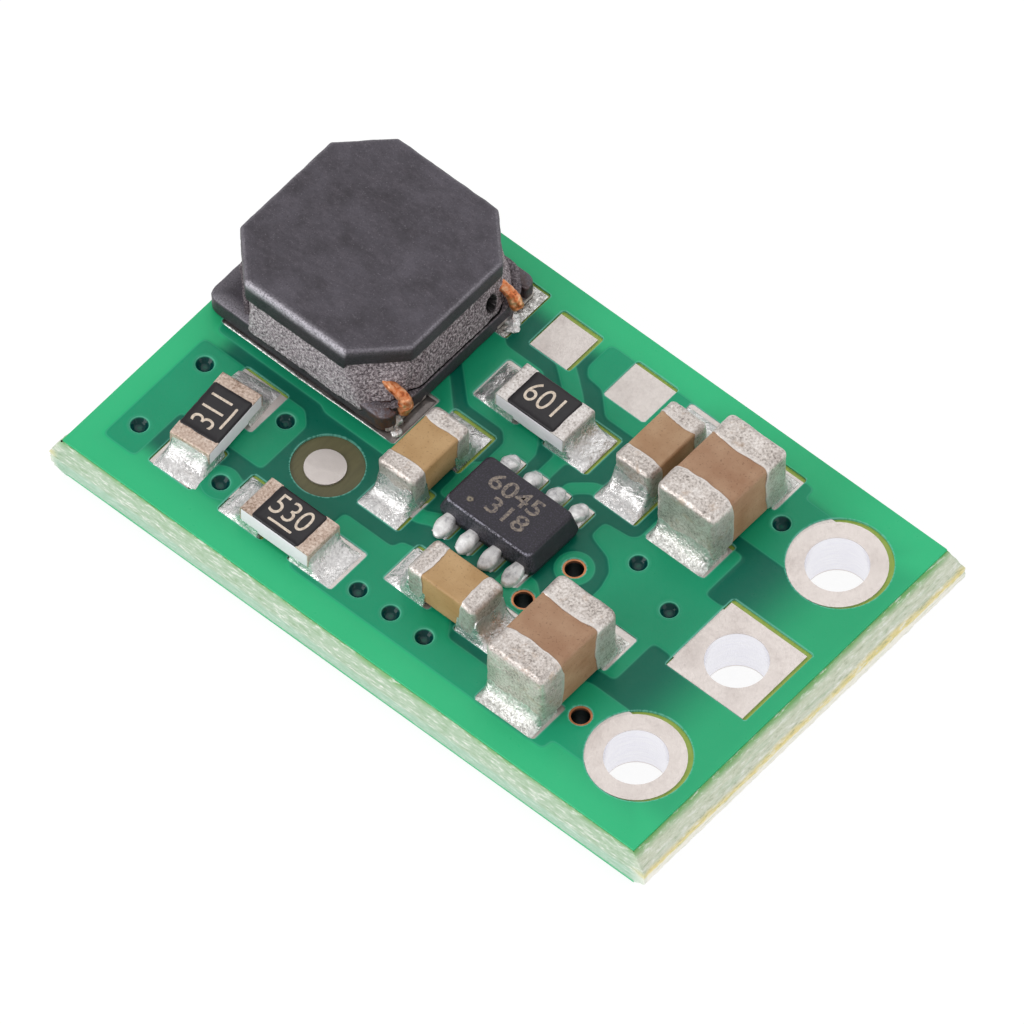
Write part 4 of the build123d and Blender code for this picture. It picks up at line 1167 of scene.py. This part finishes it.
def coreTop():
    # the eight-sided top: its front side hangs lower and carries a pale band that is part wear and
    # part painted highlight; its sides are painted darker as shade, less on the right
    low, high, edge = coil["flangeLow"], coil["flangeTop"], flange["edge"]
    loop = roundCorners(eightSides(flange["length"], flange["width"], flange["cut"]),
                        flange["corner"], 6, 26)
    front, right = np.clip(-outward(loop)[:, 1], 0, 1) ** 7, np.clip(outward(loop)[:, 0], 0, 1) ** 3
    profile = [(-0.30, low), (-0.035, low), (-0.008, low + 0.012), (0, low + 0.045)]
    profile += [(0, z) for z in np.linspace(low + 0.09, high - edge, 6)]
    rings = stack(loop, profile + roundOver(edge, high))
    below = np.clip((high - edge - rings[..., 2]) / (high - edge - low), 0, 1)
    rings[..., 2] -= flange["sag"] * front * below
    rough = 0.0022 * lumps(rings[1:-1], 0.30, 8) + 0.0012 * lumps(rings[1:-1], 0.10, 9)
    rings[1:-1, :, :2] *= 1 + rough[..., None]
    lid = shrink(rings[-1], np.linspace(0.97, 0.0, 26))
    lid[..., 2] += 0.003 * lumps(lid * (1, 1, 0), 1.1, 4) * np.linspace(0, 1, 26)[:, None] ** 0.3
    whole = np.concatenate([rings, lid])
    wearAndHighlight, dim = np.zeros(whole.shape[:2]), np.zeros(whole.shape[:2])
    # the pale band: part wear, part painted highlight, broad on the front side and a thin line
    # along the others' rounded top edge; the sides below get painted shade
    wearAndHighlight[4:15] = front * np.array([0, 0, 0, 0.05, 0.4, 0.95, 1, 1, 0.95, 0.6, 0.2])[:, None]
    wearAndHighlight[11:15] += (1 - front) * np.array([0.08, 0.30, 0.30, 0.06])[:, None] * (0.5 + 0.5 * right)
    dim[:11] = (1 - 0.35 * right) * (1 - wearAndHighlight[:11])
    return whole, {"wearAndHighlight": wearAndHighlight, "dim": dim}


def coreFoot():
    # the square foot, notched where the wire ends come down, stained at those two corners
    a, b, deep = foot["length"] / 2, foot["width"] / 2, foot["notchDeep"]
    corners, radii = [(a, -b)], [foot["corner"]]
    for notch in foot["notchAt"]:
        near, far = notch - foot["notchHalf"], notch + foot["notchHalf"]
        corners += [(a, near), (a - deep, near), (a - deep, far), (a, far)]
        radii += [foot["notchCorner"]] * 4
    corners += [(a, b), (-a, b), (-a, -b)]
    radii += [foot["corner"], foot["corner"], foot["hidden"]]
    loop = roundCorners(corners, radii, 6, 14)
    low, high, edge = coil["baseLow"] - foot["below"], coil["baseTop"], foot["edge"]
    profile = [(-0.03, low), (0, low + 0.03)]
    profile += [(0, z) for z in np.linspace(low + 0.08, high - edge, 5)]
    rings = stack(loop, profile + roundOver(edge, high))
    uneven = 0.010 * lumps(rings, 0.5, 21) + 0.006 * lumps(rings, 0.16, 22)
    rings[..., :2] *= 1 + uneven[..., None] * 0.3
    plain = np.clip(loop, (-a + 0.3, -b + 0.3), (a - deep - 0.08, b - 0.3))
    faces = [np.column_stack([plain, np.full(len(loop), z)]) for z in (low, high)]
    whole = np.concatenate([shrink(faces[0], (0.0, 1.0)), rings, shrink(faces[1], (1.0, 0.0))])
    wearAndHighlight, dim = np.zeros(whole.shape[:2]), np.zeros(whole.shape[:2])
    # painted shade on the foot's sides, and a pale rim that is part wear and part painted
    # highlight, more in front
    dim[2:9] = 0.75
    wearAndHighlight[11:14] = 0.16 + 0.30 * np.clip(-outward(loop)[:, 1], 0, 1) ** 3
    stain = np.exp(-((np.hypot(whole[..., 0] - a, whole[..., 1] + b) / 0.55) ** 2))
    stain += 0.6 * np.exp(-((np.hypot(whole[..., 0] - a, whole[..., 1] - b) / 0.45) ** 2))
    return whole, {"wearAndHighlight": wearAndHighlight, "dim": dim, "stain": stain}


def corePost():
    loop = roundCorners(rightAngleBox(post["side"], post["side"]), post["corner"], 10, 2)
    return capped(stack(loop, [(0, coil["baseTop"] - 0.02), (0, coil["flangeLow"] + 0.02)])), {}


def makeCore():
    # the core is one piece of three forms, each with where it is worn or painted with a highlight,
    # where it is painted with shade, and where it is stained
    forms = [coreTop(), coreFoot(), corePost()]
    fields = {label: np.concatenate([marks.get(label, np.zeros(points.shape[:2])).ravel()
                                     for points, marks in forms])
              for label in ("wearAndHighlight", "dim", "stain")}
    makePiece("coil_core", [sheet(place(points, coil["x"], coil["y"])) for points, _ in forms],
              ferrite, ["inductor_core"], 60, fields)


resinForm = {"length": 3.66, "width": 3.56, "near": 0.32, "far": 0.74, "corner": 0.20,
             "run": (0.165, 0.125), "pitAt": (0.85, 1.75), "pitSize": (0.14, 0.185),
             "pitDeep": 0.50}
filmProfile = ((0.14, 0.0), (0.135, 0.018), (0.110, 0.030), (0.06, 0.032), (0.005, 0.030),
               (-0.015, 0.006))


def makeResinFill():
    # resin between foot and top: one outline passes into the other, bulging like a half sine,
    # with a crack at the bottom, a round pit and a thin film that spreads over the foot
    length, width = resinForm["length"] / 2, resinForm["width"] / 2
    near, far = resinForm["near"], resinForm["far"]
    corners = [(length, -width + near), (length, width - near), (length - near, width),
               (-length + far, width), (-length, width - far), (-length, -width + far),
               (-length + far, -width), (length - near, -width)]
    low = roundCorners(corners, resinForm["corner"], 6, 130)
    high = roundCorners(eightSides(3.60, 3.66, 0.80), 0.14, 6, 130)
    front = np.clip(-outward(low)[:, 1], 0, 1) ** 6  # in front the resin runs down over the foot
    right = np.clip(outward(low)[:, 0], 0, 1) ** 6 * (1 - ease(0.95, 1.30, np.abs(low[:, 1])))
    low[:, 1] -= resinForm["run"][0] * front
    low[:, 0] += resinForm["run"][1] * right
    along = np.column_stack([low, front * 0])
    bottom = coil["baseTop"] - (0.17 + 0.012 * lumps(along, 0.5, 68)) * front
    ceiling = coil["flangeLow"] - 0.14 * front
    t = np.linspace(0, 1, 44)
    s = t[:, None, None]
    flat = low[None] * (1 - s) + high[None] * s
    heights = bottom[None] + t[:, None] * (ceiling - bottom)[None]
    points = np.concatenate([flat, heights[..., None]], -1)
    n = outward((low + high) / 2)
    push = 0.02 * np.sin(pi * t)[:, None] ** 0.7 - 0.02 * ease(0.9, 1, t)[:, None]
    push = push - (0.05 - 0.035 * front[None]) * (1 - ease(0, 0.06, t))[:, None]
    push = push + 0.010 * lumps(points, 0.5, 61) + 0.006 * lumps(points, 0.14, 62)
    push = push + 0.004 * lumps(points, 0.06, 63)
    (pitY, pitZ), (pitWide, pitTall) = resinForm["pitAt"], resinForm["pitSize"]
    pit = np.hypot((points[..., 1] - pitY) / pitWide, (points[..., 2] - pitZ) / pitTall)
    pit = pit + 9 * (points[..., 0] < 0)  # on the right-hand side only
    push = push - resinForm["pitDeep"] * (1 - ease(0.82, 1.00, pit))
    points[..., :2] += n[None] * push[..., None]
    share, film = np.minimum(1 - front, 1 - 0.8 * right), []
    for out, height in filmProfile:
        spread = out * (1 + 0.10 * lumps(along, 0.6, 66)) * share - 0.015 * front
        film.append(np.column_stack([low + n * spread[:, None], bottom + height * share]))
    film = np.array(film)
    film[1:5, :, 2] += 0.005 * lumps(film[1:5], 0.15, 67) * share
    whole = np.concatenate([film, points])
    flatFilm, dark, lit = (np.zeros(whole.shape[:2]) for _ in range(3))
    flatFilm[:5] = 0.55
    # painted shade along the crack at the bottom and in the pit
    dark[5:7], dark[7] = 1.0, 0.5
    crack = t[:, None] + 0.012 * lumps(points * (1, 1, 0), 0.35, 69)
    dark[6:] = np.maximum(dark[6:], front * (1 - ease(0.035, 0.065, crack)))
    dark[6:] = np.maximum(dark[6:], 1 - ease(1.00, 1.16, pit))
    # painted light on the sides that face the front
    lit[6:] = np.clip(-n[:, 1], 0, 1) ** 3
    makePiece("coil_resin", [sheet(place(whole, coil["x"], coil["y"]))], resin,
              ["inductor_resin"], 80,
              {"film": flatFilm.ravel(), "dark": dark.ravel(), "lit": lit.ravel()})


wire = {"drum": 1.50, "rib": 0.03, "turns": 6, "wide": (0.19, 0.06), "flat": 0.92, "tip": 0.90,
        "twist": 2.4, "groove": 0.13}
leadPaths = [
    [(-3.35, 0.35, 0.77), (-2.70, 0.08, 0.70), (-2.25, 0.08, 0.50), (-2.25, 0.03, 0.15)],
    [(-3.35, 2.67, 0.85), (-2.45, 2.72, 0.78), (-2.20, 2.77, 0.57), (-2.16, 2.80, 0.30)],
]


def smoothPath(points, count):
    # a curve through the points: cubic Catmull-Rom runs between them
    p = np.array(points, float)
    p = np.concatenate([[2 * p[0] - p[1]], p, [2 * p[-1] - p[-2]]])
    t = np.linspace(0, len(points) - 1 - 1e-9, count)
    i = t.astype(int)
    f = (t - i)[:, None]
    a, b, c, d = p[i], p[i + 1], p[i + 2], p[i + 3]
    return 0.5 * (2 * b + (c - a) * f + (2 * a - 5 * b + 4 * c - d) * f**2
                  + (3 * b - 3 * c + d - a) * f**3)


def makeWire():
    # winding inside the resin, ribbed turn by turn, and two leads: each a bundle whose outline
    # is a circle with grooves, twisted along the way, thicker and rounded at its end
    a = np.linspace(0, tau, 60, endpoint=False)
    z = np.linspace(coil["baseTop"] + 0.02, coil["flangeLow"] - 0.02, 40)
    turns = (z - z[0]) / (z[-1] - z[0]) * wire["turns"]
    r = (wire["drum"] + wire["rib"] * np.abs(np.sin(turns * pi)))[:, None]
    drum = capped(np.stack([r * np.cos(a), r * np.sin(a), np.repeat(z[:, None], 60, 1)], -1))
    parts = [sheet(place(drum, coil["x"], coil["y"]))]
    t = np.linspace(0, 1, 80)
    for points in leadPaths:
        path = smoothPath(points, 80) + (0, 0, board["seat"])
        wide = wire["wide"][0] + wire["wide"][1] * ease(0.45, 0.85, t)
        bundle = sweep(path, wide, wide * wire["flat"], roundedTip(t, wire["tip"]), 36)
        angle = np.linspace(0, tau, 36, endpoint=False)[None] + wire["twist"] * t[:, None]
        groove = 1 - wire["groove"] * np.abs(np.cos(1.5 * angle)) ** 6
        groove = groove + 0.03 * np.sin(58 * t)[:, None]
        bundle = path[:, None] + (bundle - path[:, None]) * groove[..., None]
        bundle = np.concatenate([shrink(bundle[0], (0.0,)), bundle])
        parts.append(sheet(place(bundle, 0, 0)))
    makePiece("coil_wire", parts, magnetWire, ["inductor_wire"], 60)


film = {"beyond": 0.04, "high": 0.022, "sunk": 0.005}
# Each solder lump: middle, radius and height
beads = [(-2.32, -0.10, 1.04, 0.13, 0.10), (-2.16, -0.24, 1.00, 0.10, 0.05),
         (-2.17, 2.72, 1.03, 0.15, 0.09), (-2.10, 2.62, 1.00, 0.12, 0.05)]


def padFilm(padY, index):
    # solder over one pad of the inductor: flat, and falling to nothing at the rim
    halfLength = coil["padLength"] / 2 + film["beyond"]
    halfWidth = coil["padWidth"] / 2 + film["beyond"]
    x, y = np.meshgrid(halfLength * arches(90), halfWidth * arches(30), indexing="ij")
    brim = np.minimum(halfLength - np.abs(x), halfWidth - np.abs(y))
    rough = 1 + 0.3 * lumps(np.stack([x, y + 5 * index, x * 0], -1), 0.5, 80 + index)
    low = board["copperTop"] - film["sunk"]
    z = board["copperTop"] + film["high"] * ease(0, 0.12, brim) * rough
    return heap(x, y, np.where(brim <= 1e-6, low, z), low, coil["padX"], padY)


def makeCoilJoints():
    # solder under the foot: a film over each pad, a bead along the near one, and lumps round
    # the wire ends
    near, far = (padFilm(padY, index) for index, padY in enumerate(coil["padY"]))
    makePiece("joint_coil", near, dullTin, ["solder_inductor"], 70)
    makePiece("coil_far_film", far, glossySolder, (), 70)
    t = np.linspace(0, 1, 60)
    path = np.column_stack([-5.80 + 3.62 * t, -0.450 + 0.006 * np.sin(9 * t), 0 * t + 0.990])
    bead = sweep(path, 0.075 - 0.045 * t, 0.05 - 0.02 * t, np.sin(pi * t) ** 0.2, 12)
    parts = [sheet(place(bead, 0, 0))]
    a = np.linspace(0, tau, 40, endpoint=False)[None]
    b = np.linspace(0, pi, 24)[:, None]
    for index, (bx, by, bz, wide, tall) in enumerate(beads):
        ball = np.stack([wide * np.sin(b) * np.cos(a), wide * np.sin(b) * np.sin(a),
                         tall * np.cos(b) + 0 * a], -1)
        rough = 0.16 * lumps(ball, 0.3, 90 + index) + 0.10 * lumps(ball, 0.11, 95 + index)
        ball = ball * (1 + rough[..., None])
        ball[..., 2] = np.maximum(ball[..., 2], -(bz - board["copperTop"]))
        parts.append(sheet(place(ball, bx, by, bz)))
    makePiece("coil_beads", parts, solder, (), 70)


makeCore()
makeResinFill()
makeWire()
makeCoilJoints()
print("inductor made")


# The pieces that stay as the part has them
dressing = {
    "laminate": sheetFace, "copper_top": tinnedPad, "copper_bottom": bareCopper, "vias": bareCopper,
    "hole_round_1": holeTin, "hole_square": holeTin, "hole_round_2": holeTin,
    "inductor_terminal_a": tinnedPad, "inductor_terminal_b": tinnedPad,
}
for name, finish in dressing.items():
    slots = node[name].material_slots
    if not slots:
        node[name].data.materials.append(finish)
    for slot in slots:
        slot.link = "OBJECT"
        slot.material = finish
print("part dressed")


def seenBy(tree, *rays):
    # 1 for a ray of any of these kinds
    path = tree.nodes.new("ShaderNodeLightPath")
    seen = path.outputs[rays[0]]
    for ray in rays[1:]:
        seen = reckon(tree, "MAXIMUM", seen, path.outputs[ray])
    return seen


def addShaders(tree, albedo, strength):
    # a grey that also gives off white light of its own
    grey = addNode(tree, "ShaderNodeBsdfDiffuse", Color=(albedo, albedo, albedo, 1))
    glow = addNode(tree, "ShaderNodeEmission", Color=(1, 1, 1, 1), Strength=strength)
    return addNode(tree, "ShaderNodeAddShader", in0=grey, in1=glow)


def makeFloor():
    # white floor that keeps a faint shadow: part of its white is its own light, most of it for
    # camera, glossy and transmission rays and a little for every other ray, so it also lights the
    # parts from below
    size, level = 3.0, -2e-5
    corners = [(-size, -size, level), (size, -size, level), (size, size, level),
               (-size, size, level)]
    mesh = bpy.data.meshes.new("floor")
    mesh.from_pydata(corners, [], [(0, 1, 2, 3)])
    floor = bpy.data.objects.new("floor", mesh)
    bpy.context.scene.collection.objects.link(floor)
    finish = bpy.data.materials.new("white floor")
    finish.use_nodes = True
    tree = finish.node_tree
    tree.nodes.clear()
    seen = seenBy(tree, "Is Camera Ray", "Is Glossy Ray", "Is Transmission Ray")
    mixed = addNode(tree, "ShaderNodeMixShader", in0=seen, in1=addShaders(tree, 0.8, 0.22),
                    in2=addShaders(tree, 0.16, 0.89))
    out = tree.nodes.new("ShaderNodeOutputMaterial")
    tree.links.new(mixed, out.inputs["Surface"])
    mesh.materials.append(finish)


def makeWorld(strength):
    # soft light from all round, which the camera sees as white
    world = bpy.data.worlds.new("studio")
    world.use_nodes = True
    tree = world.node_tree
    tree.nodes.clear()
    seen = seenBy(tree, "Is Camera Ray", "Is Transmission Ray")
    level = reckon(tree, "MULTIPLY_ADD", seen, 1.0 - strength, strength)
    back = addNode(tree, "ShaderNodeBackground", Color=(1, 1, 1, 1), Strength=level)
    out = tree.nodes.new("ShaderNodeOutputWorld")
    tree.links.new(back, out.inputs["Surface"])
    bpy.context.scene.world = world


def aim(thing, target, azimuth, elevation, distance):
    # stands a lamp or a camera at that distance from its target, and turns it to look there
    away = np.array([sin(azimuth) * cos(elevation), -cos(azimuth) * cos(elevation), sin(elevation)])
    thing.location = target + away * distance
    thing.rotation_euler = (pi / 2 - elevation, 0, azimuth)
    bpy.context.scene.collection.objects.link(thing)


def makeLamp(name, azimuth, elevation, power):
    # a square soft light that looks at the board's middle
    data = bpy.data.lights.new(name, "AREA")
    data.shape, data.size, data.energy = "SQUARE", 0.20, power
    lamp = bpy.data.objects.new(name, data)
    aim(lamp, np.zeros(3), radians(azimuth), radians(elevation), 0.30)


def makeCamera():
    # the view of the picture: a long lens from far off
    data = bpy.data.cameras.new("camera")
    data.lens, data.sensor_width = 1064.5, 36
    data.clip_start, data.clip_end = 0.01, 10
    camera = bpy.data.objects.new("camera", data)
    target = np.array([0.25731, -0.19546, 1.0]) * mm
    aim(camera, target, 0.7147960507, 0.9665876908, 0.5)
    bpy.context.scene.camera = camera


makeFloor()
makeWorld(0.62)
for name, azimuth, elevation, power in (("key", -30, 27, 0.37), ("back", 200, 58, 0.12),
                                        ("fill", 100, 18, 0.12)):
    makeLamp(name, azimuth, elevation, power)
makeCamera()
bpy.context.scene.view_settings.view_transform = "Standard"

print("scene ready")
